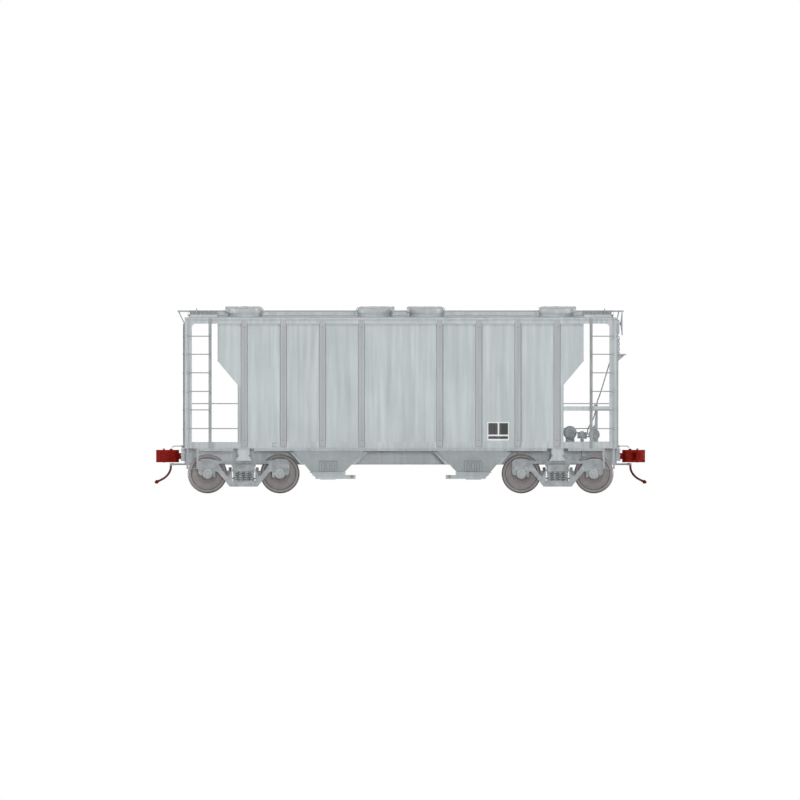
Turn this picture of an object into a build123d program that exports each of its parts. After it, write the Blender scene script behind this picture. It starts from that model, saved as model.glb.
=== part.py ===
from build123d import *
from math import atan2, cos, degrees, pi, radians, sin, tan
import os

# Two-bay covered hopper car with eight round roof hatches, at its real size in millimetres.
# The car stands on its wheel flanges at z = 0 and X runs along it, with the hand brake (B) end at +X.
# Y runs across it and Z is up. end is -1 at the A end and +1 at the B end, side is -1 or +1 across.

os.makedirs("parts", exist_ok=True)

# Lengths, each from the middle of the car
striker_x = 5372
corner_x = 5292
corner_width = 179
roof_end_x = 5207
wall_x = 4486
side_end_x = 3992
truck_x = 3845

# Widths, each from the middle of the car
sheet_y = 1461
post_face_y = 1524
eave_y = 1490

# Heights above the wheel flanges
sill_bottom_z = 705
side_sill_z = 1102
sill_top_z = side_sill_z
side_sill_height = 157
chord_z = 4157
chord_band_z = 4251
eave_z = 4310
coupler_z = 914

# Draft pin that each coupler swings on, and the coupler shank's half width and half height
draft_pin_x = 4800
draft_pin_radius = 30
shank_half = (65, 75)

# Sheets and bars
sheet = 10
roof_sheet = 8
angle_leg = 12
rod = 25
fit = 0.3
bore_reach = 400

# Load space: the 50 degree end slopes, the inner slopes and the side slopes down to the outlets
slope_top_z = 3244
end_slope = 50
inner_slope = 46.5
side_slope = 58
outlet_z = 522
outlet_inner_x = 1372
side_slope_top_z = 1330
outlet_x = wall_x - (slope_top_z - outlet_z) / tan(radians(end_slope))
outlet_y = sheet_y - sheet - (side_slope_top_z - outlet_z) / tan(radians(side_slope))
ridge_z = outlet_z + outlet_inner_x * tan(radians(inner_slope))
hopper_top_z = side_slope_top_z + sheet / cos(radians(side_slope))

# Roof
roof_rise = 65
roof_flat_y = sheet_y - sheet
roof_tilt = degrees(atan2(roof_rise, roof_flat_y))
hatch_y = 845
hatch_end_x = 3810
hatch_middle_x = 637
# The four rows of hatches, each with the direction along the car in which its hinge stands
hatches = [
    {"number": 1, "x": -hatch_end_x, "hinge": 1},
    {"number": 2, "x": -hatch_middle_x, "hinge": -1},
    {"number": 3, "x": hatch_middle_x, "hinge": 1},
    {"number": 4, "x": hatch_end_x, "hinge": -1},
]
coaming_radius = 398
coaming_wall = 18
coaming_height = 100


def save(piece, name):
    piece.label = name
    export_step(piece, f"parts/{name}.step")


def block(x, y, z, mode=Mode.ADD):
    # A bar or block between two values on each axis
    centre = ((x[0] + x[1]) / 2, (y[0] + y[1]) / 2, (z[0] + z[1]) / 2)
    with Locations(centre):
        Box(x[1] - x[0], y[1] - y[0], z[1] - z[0], mode=mode)


def across(points, y, mode=Mode.ADD):
    # An (x, z) outline carried across the car between two values of y
    with BuildSketch(Plane.XZ.offset(-y[0])) as outline:
        with BuildLine():
            Polyline(*points, close=True)
        make_face()
    extrude(outline.sketch, amount=y[0] - y[1], mode=mode)


def along(points, x, mode=Mode.ADD):
    # A (y, z) outline carried along the car between two values of x
    with BuildSketch(Plane.YZ.offset(x[0])) as outline:
        with BuildLine():
            Polyline(*points, close=True)
        make_face()
    extrude(outline.sketch, amount=x[1] - x[0], mode=mode)


def span(middle, width):
    return (middle - width / 2, middle + width / 2)


def ordered(a, b):
    return (min(a, b), max(a, b))


def roof_top(y):
    # Height of the roof sheet's upper face
    fall = min(abs(y), roof_flat_y) * roof_rise / roof_flat_y
    return eave_z + roof_sheet + roof_rise - fall


def round_bar(start, finish, diameter, mode=Mode.ADD):
    # A straight round bar between two points
    axis = Vector(*finish) - Vector(*start)
    with BuildSketch(Plane(origin=start, z_dir=axis)) as ring:
        Circle(diameter / 2)
    extrude(ring.sketch, amount=axis.length, mode=mode)


def drum(plane, radius, height, mode=Mode.ADD):
    # A round boss standing on a plane
    with BuildSketch(plane) as ring:
        Circle(radius)
    extrude(ring.sketch, amount=height, mode=mode)


# Centre sill: a wide hat section, open below, with a striker casting on each end
sill_half = 178
sill_flange_half = 210
sill_angle_half = 190
sill_angle_z = 841
sill_plate = 16
striker_half = 230
striker_z = (789, 1098)
striker_depth = 90
shank_slot = (150, 110)


def sill_outline():
    return [
        (-sill_flange_half, sill_bottom_z),
        (-sill_flange_half, sill_bottom_z + sill_plate),
        (-sill_angle_half, sill_bottom_z + sill_plate),
        (-sill_angle_half, sill_angle_z),
        (-sill_half, sill_angle_z),
        (-sill_half, sill_top_z),
        (sill_half, sill_top_z),
        (sill_half, sill_angle_z),
        (sill_angle_half, sill_angle_z),
        (sill_angle_half, sill_bottom_z + sill_plate),
        (sill_flange_half, sill_bottom_z + sill_plate),
        (sill_flange_half, sill_bottom_z),
    ]


sill_end_x = striker_x - striker_depth
with BuildPart() as center_sill:
    along(sill_outline(), (-sill_end_x, sill_end_x))
    hollow = sill_half - sill_plate
    block(
        (-sill_end_x, sill_end_x),
        (-hollow, hollow),
        (sill_bottom_z, sill_top_z - sill_plate),
        Mode.SUBTRACT,
    )
    for end in (-1, 1):
        striker_x_span = ordered(end * sill_end_x, end * striker_x)
        block(striker_x_span, (-striker_half, striker_half), striker_z)
        slot_z = (coupler_z - shank_slot[1], coupler_z + shank_slot[1])
        block(striker_x_span, (-shank_slot[0], shank_slot[0]), slot_z, Mode.SUBTRACT)
        # Carrier iron under the shank, and the draft pin on its plate inside the sill
        block(striker_x_span, (-shank_slot[0], shank_slot[0]), (slot_z[0], coupler_z - shank_half[1] - fit))
        plate_z = (sill_bottom_z + 35, sill_bottom_z + 51)
        block(span(end * draft_pin_x, 240), (-hollow, hollow), plate_z)
        draft_pin = Plane(origin=(end * draft_pin_x, 0, plate_z[0]), z_dir=(0, 0, 1))
        drum(draft_pin, draft_pin_radius, sill_top_z - sill_plate - plate_z[0])
        # Centre plate under the sill, which turns in the truck's bowl
        centre_plate = Plane(origin=(end * truck_x, 0, sill_bottom_z), z_dir=(0, 0, -1))
        drum(centre_plate, 190, 45)
        filler = (sill_bottom_z, sill_bottom_z + 60)
        block(span(end * truck_x, 380), (-hollow, hollow), filler)
save(center_sill.part, "center_sill")

# Body bolsters: tapered box beams from the sill to the side sills, with jacking pads below the ends
bolster_half = 150
bolster_tip_z = 940
pad_y = (1223, 1485)
pad_bottom_z = 797
pad_neck_z = 929
pad_foot_half = 200
pad_neck_half = 122
for end, name in ((-1, "a"), (1, "b")):
    cx = end * truck_x
    with BuildPart() as body_bolster:
        for side in (-1, 1):
            beam = [
                (side * sill_angle_half, sill_bottom_z + sill_plate),
                (side * sheet_y, bolster_tip_z),
                (side * sheet_y, side_sill_z),
                (side * sill_half, side_sill_z),
                (side * sill_half, sill_angle_z),
                (side * sill_angle_half, sill_angle_z),
            ]
            along(beam, span(cx, 2 * bolster_half))
            pad = [
                (cx - pad_foot_half, pad_bottom_z),
                (cx + pad_foot_half, pad_bottom_z),
                (cx + pad_neck_half, pad_neck_z),
                (cx + pad_neck_half, side_sill_z),
                (cx - pad_neck_half, side_sill_z),
                (cx - pad_neck_half, pad_neck_z),
            ]
            across(pad, ordered(side * pad_y[0], side * pad_y[1]))
    save(body_bolster.part, f"body_bolster_{name}")

# Side sills: angles outside the side sheets, running from corner post to corner post
corner_in_x = corner_x - corner_width
side_sill_foot_y = 1515
side_sill_leg = 14
with BuildPart() as side_sills:
    for side in (-1, 1):
        section = [
            (side * sheet_y, side_sill_z),
            (side * side_sill_foot_y, side_sill_z),
            (side * side_sill_foot_y, side_sill_z + side_sill_leg),
            (side * (sheet_y + side_sill_leg), side_sill_z + side_sill_leg),
            (side * (sheet_y + side_sill_leg), side_sill_z + side_sill_height),
            (side * sheet_y, side_sill_z + side_sill_height),
        ]
        along(section, (-corner_in_x, corner_in_x))
save(side_sills.part, "side_sills")

# Sides: sheet, edge flanges and eight pressed posts, all one welded panel
post_width = 171
post_spacing = 958
post_foot_z = 1151
post_top_z = chord_band_z
chord_face_y = post_face_y - angle_leg
post_columns = [n * post_spacing for n in (-4, -3, -2, -1, 1, 2, 3, 4)]
for side, name in ((1, "left"), (-1, "right")):
    with BuildPart() as car_side:
        sheet_outline = [
            (-side_end_x, side_sill_z),
            (side_end_x, side_sill_z),
            (side_end_x, slope_top_z - (wall_x - side_end_x) * tan(radians(end_slope))),
            (wall_x, slope_top_z),
            (wall_x, eave_z),
            (-wall_x, eave_z),
            (-wall_x, slope_top_z),
            (-side_end_x, slope_top_z - (wall_x - side_end_x) * tan(radians(end_slope))),
        ]
        across(sheet_outline, ordered(side * (sheet_y - sheet), side * sheet_y))
        for px in post_columns:
            # Each post is a pressed hat with sloping flanks
            hat = [
                (px - post_width / 2, side * sheet_y),
                (px - post_width / 2 + 18, side * post_face_y),
                (px + post_width / 2 - 18, side * post_face_y),
                (px + post_width / 2, side * sheet_y),
            ]
            with BuildSketch(Plane.XY.offset(post_foot_z)) as hat_section:
                with BuildLine():
                    Polyline(*hat, close=True)
                make_face()
            extrude(hat_section.sketch, amount=post_top_z - post_foot_z)
        # Posts are notched over the side sill's leg
        notch_y = ordered(side * sheet_y, side * (sheet_y + side_sill_leg))
        notch_z = (side_sill_z, side_sill_z + side_sill_height)
        block((-side_end_x, side_end_x), notch_y, notch_z, Mode.SUBTRACT)
        # and over the recessed face of the top chord
        chord_y = ordered(side * sheet_y, side * chord_face_y)
        block((-side_end_x, side_end_x), chord_y, (chord_z, post_top_z), Mode.SUBTRACT)
        for end in (-1, 1):
            flange_x = ordered(end * side_end_x, end * (side_end_x - sheet))
            flange_z = (side_sill_z + side_sill_height, slope_top_z - 600)
            block(flange_x, ordered(side * sheet_y, side * (sheet_y + 45)), flange_z)
    save(car_side.part, f"side_{name}")


# Load space as one solid, at its outer faces (inset 0) or its inner faces (inset = sheet)
def load_space(inset, open_by=0):
    wall = wall_x - inset
    shift = inset / sin(radians(end_slope))
    inner_shift = inset / sin(radians(inner_slope))
    low_z = outlet_z - open_by
    bend_z = slope_top_z + tan(radians(end_slope)) * (shift - inset)
    low_x = outlet_x - shift - open_by / tan(radians(end_slope))
    low_inner_x = outlet_inner_x + inner_shift + open_by / tan(radians(inner_slope))
    top_ridge_z = ridge_z + inset / cos(radians(inner_slope))
    top_z = eave_z + roof_rise + 200
    long_outline = [(0, top_ridge_z), (low_inner_x, low_z), (low_x, low_z), (wall, bend_z), (wall, top_z)]
    long_outline += [(-x, z) for x, z in reversed(long_outline[1:])]
    side_shift = inset / sin(radians(side_slope))
    low_y = outlet_y - side_shift - open_by / tan(radians(side_slope))
    half = sheet_y - sheet
    run = tan(radians(side_slope))
    knee_z = side_slope_top_z + side_shift * run
    cross_outline = [(low_y, low_z), (half, knee_z), (half, top_z)]
    cross_outline += [(-y, z) for y, z in reversed(cross_outline)]
    with BuildPart() as space:
        across(long_outline, (-half, half))
        along(cross_outline, (-wall, wall), Mode.INTERSECT)
    return space.part


roof_underside = [
    (-sheet_y - 100, eave_z),
    (-roof_flat_y, eave_z),
    (0, eave_z + roof_rise),
    (roof_flat_y, eave_z),
    (sheet_y + 100, eave_z),
    (sheet_y + 100, eave_z + 600),
    (-sheet_y - 100, eave_z + 600),
]
with BuildPart() as bin_shell:
    add(load_space(0))
    add(load_space(sheet, open_by=20), mode=Mode.SUBTRACT)
    along(roof_underside, (-wall_x - 50, wall_x + 50), Mode.SUBTRACT)
    along(sill_outline(), (-wall_x, wall_x), Mode.SUBTRACT)

far = 6000
for end, name in ((-1, "a"), (1, "b")):
    # End sheet: the upper wall and the slope sheet, bent from one plate
    with BuildPart() as end_sheet:
        add(bin_shell.part)
        wedge_x = ordered(end * 1800, end * far)
        block(wedge_x, (-far, far), (hopper_top_z, far), Mode.INTERSECT)
    save(end_sheet.part, f"end_sheet_{name}")

# The ridge of the two inner slope sheets between the bays
ridge_x = outlet_inner_x
with BuildPart() as ridge_sheets:
    add(bin_shell.part)
    block((-ridge_x, ridge_x), (-far, far), (hopper_top_z, far), Mode.INTERSECT)
save(ridge_sheets.part, "ridge_sheets")

# Hopper bays: four slope sheets to an outlet frame with two mouths, gate rails and a shaker bracket
frame_wall = 20
frame_bottom_z = 386
web_half = 60
mouth_ledge = 8
gate_thickness = 12
rail_z = 353
rail_end_x = 1105
rail_head_z = 451
gate_rail_z = frame_bottom_z - gate_thickness - 2
shaker_x = 1778
shaker_z = 678
shaker_size = (445, 300)
shaker_plate = 22
shaker_rib = 55
flange_reach = 14
frame_flange_z = [(508, 522), (440, 453)]
lug_x = (1595, 1975)
lug_bottom_z = 336
slope_rib_y = 1000
slope_rib_depth = 74
slope_rib_z = (712, 1010)
for end, name in ((-1, "a"), (1, "b")):
    with BuildPart() as hopper:
        add(bin_shell.part)
        block(ordered(0, end * far), (-far, far), (0, hopper_top_z), Mode.INTERSECT)
        frame_outer_x = outlet_x - (outlet_z - frame_bottom_z)
        casing = [
            (end * (outlet_inner_x - frame_wall), outlet_z),
            (end * (outlet_x + frame_wall), outlet_z),
            (end * (frame_outer_x + frame_wall), frame_bottom_z),
            (end * (outlet_inner_x - frame_wall), frame_bottom_z),
        ]
        across(casing, (-outlet_y - frame_wall, outlet_y + frame_wall))
        # Flanges around the frame, in line with its sloping outer wall
        for low, high in frame_flange_z:
            wall_at = outlet_x - (outlet_z - high) + frame_wall
            block(ordered(end * (outlet_inner_x - frame_wall - flange_reach), end * (wall_at + flange_reach)),
                  (-outlet_y - frame_wall - flange_reach, outlet_y + frame_wall + flange_reach), (low, high))
        mouth = [
            (end * (outlet_inner_x + mouth_ledge), outlet_z + 14),
            (end * (outlet_x - 14), outlet_z + 14),
            (end * frame_outer_x, frame_bottom_z),
            (end * (outlet_inner_x + mouth_ledge), frame_bottom_z),
        ]
        for side in (-1, 1):
            across(mouth, ordered(side * web_half, side * (outlet_y - mouth_ledge)), Mode.SUBTRACT)
            # Rails that carry the gate, and run on towards the middle of the car
            rail_x = ordered(end * rail_end_x, end * (frame_outer_x + frame_wall))
            block(rail_x, ordered(side * (outlet_y - 30), side * (outlet_y + frame_wall)),
                  (rail_z, gate_rail_z))
            block(rail_x, ordered(side * (outlet_y + 2), side * (outlet_y + frame_wall)),
                  (rail_z, frame_bottom_z))
        block(ordered(end * rail_end_x, end * (frame_outer_x + frame_wall)), (-web_half, web_half),
              (rail_z, gate_rail_z))
        block(ordered(end * rail_end_x, end * (frame_outer_x + frame_wall)), (-15, 15),
              (rail_z, frame_bottom_z))
        for side in (-1, 1):
            # The rails stand taller in front of the outlet, where they guide the open gate
            block(ordered(end * rail_end_x, end * (outlet_inner_x - frame_wall)),
                  ordered(side * (outlet_y + 2), side * (outlet_y + frame_wall)),
                  (frame_bottom_z, rail_head_z))
            block(ordered(end * lug_x[0], end * lug_x[1]),
                  ordered(side * (outlet_y - 30), side * (outlet_y + frame_wall)), (lug_bottom_z, rail_z))
            # Ribs that stand on the inner and the outer slope sheet
            for foot_x, angle, away in ((outlet_inner_x, inner_slope, -1), (outlet_x, end_slope, 1)):
                rise = tan(radians(angle))
                depth = slope_rib_depth / sin(radians(angle))
                low_x, high_x = (foot_x + away * (z - outlet_z) / rise for z in slope_rib_z)
                rib = [
                    (end * (low_x - away * 4), slope_rib_z[0]),
                    (end * (high_x - away * 4), slope_rib_z[1]),
                    (end * (high_x + away * depth), slope_rib_z[1]),
                    (end * (low_x + away * depth), slope_rib_z[0]),
                ]
                across(rib, span(side * slope_rib_y, sheet))
            # Shaker bracket: a rounded plate with three ribs on the side slope
            slope_y = sheet_y - sheet - (side_slope_top_z - shaker_z) / tan(radians(side_slope))
            tilt = radians(side_slope)
            face = Plane(origin=(end * shaker_x, side * slope_y, shaker_z), x_dir=(1, 0, 0),
                         z_dir=(0, side * sin(tilt), -cos(tilt)))
            with BuildSketch(face.offset(-2)) as bracket:
                RectangleRounded(*shaker_size, 40)
            extrude(bracket.sketch, amount=shaker_plate + 2)
            with BuildSketch(face.offset(-2)) as ribs:
                with GridLocations(120, 1, 3, 1):
                    Rectangle(16, shaker_size[1] - 30)
            extrude(ribs.sketch, amount=shaker_rib + 2)
    save(hopper.part, f"hopper_{name}")

    # Sliding gate: two leaves that one shaft drives together
    with BuildPart() as outlet_gate:
        for side in (-1, 1):
            block(ordered(end * (outlet_inner_x - frame_wall), end * frame_outer_x),
                  ordered(side * (web_half - 40), side * (outlet_y - 3)),
                  (gate_rail_z + fit, gate_rail_z + fit + gate_thickness))
    save(outlet_gate.part, f"outlet_gate_{name}")

# Roof: two sheets that fall from the middle to a flat edge, each with four coamings and hinge lugs
coaming_bore = coaming_radius - coaming_wall
hinge_reach = 455
hinge_height = 95
pin_diameter = 20
barrel_radius = 22
lug_gap = (62, 82)


def hatch_plane(hx, side):
    # A plane on the roof's upper face at a hatch, with its X along the car
    tilt = radians(roof_tilt)
    normal = (0, side * sin(tilt), cos(tilt))
    return Plane(origin=(hx, side * hatch_y, roof_top(hatch_y)), x_dir=(1, 0, 0), z_dir=normal)


def upright(plane, offset=0):
    # The plane through a hatch's middle that holds its (along the car, height) sections
    return Plane(origin=plane.origin + plane.y_dir * offset, x_dir=plane.x_dir, z_dir=-plane.y_dir)


for side, name in ((1, "left"), (-1, "right")):
    with BuildPart() as roof:
        section = [
            (0, eave_z + roof_rise),
            (side * roof_flat_y, eave_z),
            (side * eave_y, eave_z),
            (side * eave_y, eave_z + roof_sheet),
            (side * roof_flat_y, eave_z + roof_sheet),
            (0, eave_z + roof_rise + roof_sheet),
        ]
        along(section, (-roof_end_x, roof_end_x))
        for hatch in hatches:
            plane = hatch_plane(hatch["x"], side)
            drum(plane.offset(-roof_sheet / 2), coaming_radius, coaming_height + roof_sheet / 2)
            drum(plane.offset(-50), coaming_bore, 50 + coaming_height + 1, Mode.SUBTRACT)
            reach = hatch["hinge"] * hinge_reach
            for lug_side in (-1, 1):
                lug_offset = lug_side * sum(lug_gap) / 2 + (lug_gap[1] - lug_gap[0]) / 2
                with BuildSketch(upright(plane, lug_offset)) as lug:
                    with Locations((reach, (hinge_height - 4) / 2)):
                        Rectangle(40, hinge_height + 4)
                    with Locations((reach, hinge_height)):
                        Circle(20)
                extrude(lug.sketch, amount=lug_gap[1] - lug_gap[0])
            with BuildSketch(upright(plane, lug_gap[0])) as pin:
                with Locations((reach, hinge_height)):
                    Circle(pin_diameter / 2)
            extrude(pin.sketch, amount=2 * lug_gap[0])
    save(roof.part, f"roof_{name}")

# Hatch lids: a stepped round cover with a gasket ring, a batten across its top, a hinge arm and a latch
lid_radius = 425
lid_skirt = 8
lid_skirt_bottom = 88
lid_step_height = 150
lid_top_radius = 405
lid_edge_height = 189
lid_crown_height = 205
gasket_radius = 372
batten_width = 120
batten_top = 222
latch_size = (184, 75)
latch_z = (112, 226)
for hatch in hatches:
    for side, name in ((1, "left"), (-1, "right")):
        plane = hatch_plane(hatch["x"], side)
        to_hinge = hatch["hinge"]
        with BuildPart() as lid:
            with BuildSketch(upright(plane)) as lid_section:
                with BuildLine():
                    Polyline(
                        (0, lid_crown_height),
                        (lid_top_radius, lid_edge_height),
                        (lid_top_radius, lid_step_height),
                        (lid_radius, lid_step_height),
                        (lid_radius, lid_skirt_bottom),
                        (lid_radius - lid_skirt, lid_skirt_bottom),
                        (lid_radius - lid_skirt, coaming_height + fit),
                        (gasket_radius, coaming_height + fit),
                        (gasket_radius, lid_edge_height - lid_skirt),
                        (0, lid_crown_height - lid_skirt),
                        close=True,
                    )
                make_face()
            revolve(lid_section.sketch, axis=Axis(plane.origin, plane.z_dir))
            # Batten from the latch to the hinge arm, which bends down to the hinge pin
            arm = [
                (-to_hinge * lid_radius, lid_edge_height - 4),
                (-to_hinge * lid_radius, lid_edge_height + 14),
                (-to_hinge * 90, batten_top),
                (to_hinge * 90, batten_top),
                (to_hinge * (lid_radius + 8), lid_edge_height + 14),
                (to_hinge * (hinge_reach + 14), hinge_height + 26),
                (to_hinge * (hinge_reach + 14), hinge_height),
                (to_hinge * (hinge_reach - 14), hinge_height),
                (to_hinge * (lid_radius + 2), hinge_height + 40),
                (to_hinge * (lid_radius + 2), lid_edge_height - 4),
            ]
            with BuildSketch(upright(plane, batten_width / 2)) as arm_section:
                with BuildLine():
                    Polyline(*arm, close=True)
                make_face()
                with Locations((to_hinge * hinge_reach, hinge_height)):
                    Circle(barrel_radius)
            extrude(arm_section.sketch, amount=batten_width)
            with BuildSketch(upright(plane, batten_width)) as eye:
                with Locations((to_hinge * hinge_reach, hinge_height)):
                    Circle(pin_diameter / 2 + fit)
            extrude(eye.sketch, amount=2 * batten_width, mode=Mode.SUBTRACT)
            drum(plane.offset(lid_crown_height - 2), 58, 35)
            latch_reach = -to_hinge * (lid_radius + latch_size[1] / 2 - 12)
            with BuildSketch(upright(plane, latch_size[0] / 2)) as latch:
                with Locations((latch_reach, sum(latch_z) / 2)):
                    Rectangle(latch_size[1], latch_z[1] - latch_z[0])
            extrude(latch.sketch, amount=latch_size[0])
        save(lid.part, f"hatch_lid_{hatch['number']}_{name}")

# Top chords: box members outside the side sheets, under the roof's flat edge, with a band along the top
with BuildPart() as top_chords:
    for side in (-1, 1):
        chord_section = [
            (side * sheet_y, chord_z),
            (side * chord_face_y, chord_z),
            (side * chord_face_y, chord_band_z),
            (side * post_face_y, chord_band_z),
            (side * post_face_y, eave_z),
            (side * sheet_y, eave_z),
        ]
        along(chord_section, (-corner_x, corner_x))
save(top_chords.part, "top_chords")

# Corner posts: angles with curved gussets under the chord
gusset = 95
with BuildPart() as corner_posts:
    for end in (-1, 1):
        for side in (-1, 1):
            outer = ordered(side * (post_face_y - angle_leg), side * post_face_y)
            block(ordered(end * corner_in_x, end * corner_x), outer, (side_sill_z, chord_band_z))
            block(ordered(end * (corner_x - angle_leg), end * corner_x),
                  ordered(side * sheet_y, side * chord_face_y), (side_sill_z, chord_z))
            # The gusset's free edge is a quarter arc
            gx = end * corner_in_x
            with BuildSketch(Plane.XZ.offset(-side * (post_face_y - angle_leg / 2))) as web:
                with BuildLine():
                    Line((gx, chord_z - gusset), (gx, chord_z))
                    Line((gx, chord_z), (gx - end * gusset, chord_z))
                    RadiusArc((gx - end * gusset, chord_z), (gx, chord_z - gusset), end * gusset)
                make_face()
            extrude(web.sketch, amount=angle_leg / 4, both=True)
save(corner_posts.part, "corner_posts")

# End frames: end sill, end plate under the roof and two end posts at each end
end_plate_depth = 219
end_post_y = 300
end_post_width = 61
with BuildPart() as end_sills:
    for end in (-1, 1):
        block(ordered(end * corner_in_x, end * (corner_x - angle_leg)), (-sheet_y, sheet_y),
              (side_sill_z + side_sill_height - angle_leg, side_sill_z + side_sill_height))
        block(ordered(end * (corner_x - angle_leg), end * corner_x), (-sheet_y, sheet_y),
              (side_sill_z, side_sill_z + side_sill_height))
save(end_sills.part, "end_sills")

with BuildPart() as end_plates:
    for end in (-1, 1):
        plate = [
            (-sheet_y, eave_z - end_plate_depth),
            (sheet_y, eave_z - end_plate_depth),
            (sheet_y, eave_z),
            (roof_flat_y, eave_z),
            (0, eave_z + roof_rise),
            (-roof_flat_y, eave_z),
            (-sheet_y, eave_z),
        ]
        along(plate, ordered(end * (roof_end_x - angle_leg), end * roof_end_x))
        block(ordered(end * corner_in_x, end * corner_x), (-sheet_y, sheet_y),
              (eave_z - end_plate_depth, eave_z - end_plate_depth + angle_leg))
save(end_plates.part, "end_plates")

with BuildPart() as end_posts:
    post_z = (side_sill_z + side_sill_height, eave_z - end_plate_depth)
    for end in (-1, 1):
        for side in (-1, 1):
            inner = side * (end_post_y - end_post_width / 2)
            outer = side * (end_post_y + end_post_width / 2)
            block(ordered(end * (corner_x - angle_leg), end * corner_x), ordered(inner, outer), post_z)
            block(ordered(end * corner_in_x, end * (corner_x - angle_leg)),
                  ordered(outer, outer - side * angle_leg), post_z)
save(end_posts.part, "end_posts")

# Ladders: a side ladder at each corner and one end ladder at each end
rung_z = [1588, 2046, 2499, 2955, 3408, 3851]
ladder_standoff = 88
stile_reach = post_face_y + ladder_standoff
rung_y = stile_reach - 12
side_stiles_x = (4630, 5205)
stile_width = (76, 8)
end_rung_x = corner_x + 26
end_stiles_y = (1031, 1467)
with BuildPart() as ladders:
    for end in (-1, 1):
        for side in (-1, 1):
            inner_x = end * side_stiles_x[0]
            ladder_z = (side_sill_z, eave_z)
            block(ordered(inner_x, inner_x + end * stile_width[0]),
                  ordered(side * post_face_y, side * (post_face_y + stile_width[1])), ladder_z)
            block(ordered(inner_x, inner_x + end * stile_width[1]),
                  ordered(side * post_face_y, side * stile_reach), ladder_z)
            outer_x = end * side_stiles_x[1]
            block(ordered(outer_x, outer_x + end * stile_width[1]),
                  ordered(side * post_face_y, side * stile_reach), ladder_z)
            for z in rung_z:
                round_bar((inner_x + end * stile_width[1] / 2, side * rung_y, z),
                          (outer_x + end * stile_width[1] / 2, side * rung_y, z), rod)
        ladder_side = -end
        for y in end_stiles_y:
            block(ordered(end * corner_x, end * (end_rung_x + rod / 2)),
                  span(ladder_side * y, stile_width[1]), (side_sill_z, chord_z))
        for z in rung_z:
            round_bar((end * end_rung_x, ladder_side * end_stiles_y[0], z),
                      (end * end_rung_x, ladder_side * end_stiles_y[1], z), rod)
save(ladders.part, "ladders")

# Grab irons: bent round bars on the sides and ends, and along the outer cross walks
grab_x = end_rung_x
side_grab_y = 1486
side_grab_z = 2200
# End grab irons: height and the two places across the end, the first by the end post, then on the sill
end_grabs = [
    {"z": rung_z[0], "from_y": end_post_y, "to_y": 1500},
    {"z": 1180, "from_y": 725, "to_y": 1257},
]
roof_grab_x = 5000
roof_grab_lift = 45

# Running boards: a centre walk along the whole roof and a cross walk at each corner
walk_y = 361
walk_lift = 100
walk_top_z = eave_z + roof_sheet + roof_rise + walk_lift
walk_depth = 40
walk_end_x = 5466
saddle_x = [-5000, -4300, -3200, -2200, -1400, 0, 1400, 2200, 3200, 4300, 5000]
saddle_width = 60
cross_walk_x = (roof_end_x - 721, roof_end_x - 40)
cross_walk_fall = 100
cross_walk_depth = 30
cross_walk_end_y = 1470
brace_top_x = {-1: 5436, 1: 5345}


def cross_walk_top(y):
    return walk_top_z - (abs(y) - walk_y) * cross_walk_fall / (cross_walk_end_y - walk_y)


with BuildPart() as running_boards:
    block((-walk_end_x, walk_end_x), (-walk_y, walk_y), (walk_top_z - walk_depth, walk_top_z))
    for x in saddle_x:
        saddle = [
            (-walk_y, walk_top_z - walk_depth),
            (-walk_y, roof_top(walk_y)),
            (0, roof_top(0)),
            (walk_y, roof_top(walk_y)),
            (walk_y, walk_top_z - walk_depth),
        ]
        along(saddle, span(x, saddle_width))
    for end in (-1, 1):
        for side in (-1, 1):
            board = [
                (side * walk_y, cross_walk_top(walk_y)),
                (side * cross_walk_end_y, cross_walk_top(cross_walk_end_y)),
                (side * cross_walk_end_y, cross_walk_top(cross_walk_end_y) - cross_walk_depth),
                (side * walk_y, cross_walk_top(walk_y) - cross_walk_depth),
            ]
            walk_x = ordered(end * cross_walk_x[0], end * cross_walk_x[1])
            along(board, walk_x)
            # Two brackets under each cross walk stand on the roof sheet
            bracket = [
                (side * (walk_y + 60), cross_walk_top(walk_y + 60) - cross_walk_depth),
                (side * roof_flat_y, cross_walk_top(roof_flat_y) - cross_walk_depth),
                (side * roof_flat_y, roof_top(roof_flat_y)),
                (side * (walk_y + 60), roof_top(walk_y + 60)),
            ]
            for bx in (walk_x[0] + 40, walk_x[1] - 40):
                along(bracket, span(bx, 8))
            # Brace from the walk's overhang down to the end plate's shelf
            brace_y = side * 250
            brace_low = (end * (corner_x - 20), brace_y, eave_z - end_plate_depth + angle_leg + 10)
            brace_high = (end * brace_top_x[end], brace_y, walk_top_z - walk_depth + 6)
            round_bar(brace_low, brace_high, rod)
            # Grab iron over the cross walk
            grab = []
            for y in (walk_y + 90, cross_walk_end_y - 60):
                foot = (end * roof_grab_x, side * y, cross_walk_top(y) - 5)
                head = (end * roof_grab_x, side * y, cross_walk_top(y) + roof_grab_lift)
                round_bar(foot, head, rod)
                grab.append(head)
            round_bar(grab[0], grab[1], rod)
save(running_boards.part, "running_boards")

with BuildPart() as grab_irons:
    for end in (-1, 1):
        for side in (-1, 1):
            round_bar((end * side_end_x, side * side_grab_y, side_grab_z),
                      (end * (corner_x - angle_leg), side * side_grab_y, side_grab_z), rod)
        # One side at each end has a lower bar too, the two being half a turn of the car apart
        round_bar((end * side_end_x, end * side_grab_y, rung_z[0]),
                  (end * (corner_x - angle_leg), end * side_grab_y, rung_z[0]), rod)
        for grab in end_grabs:
            grab_ends = [end * grab["from_y"], end * grab["to_y"]]
            round_bar((end * grab_x, grab_ends[0], grab["z"]), (end * grab_x, grab_ends[1], grab["z"]), rod)
            for y in grab_ends:
                round_bar((end * corner_x, y, grab["z"]), (end * grab_x, y, grab["z"]), rod)
save(grab_irons.part, "grab_irons")

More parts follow.
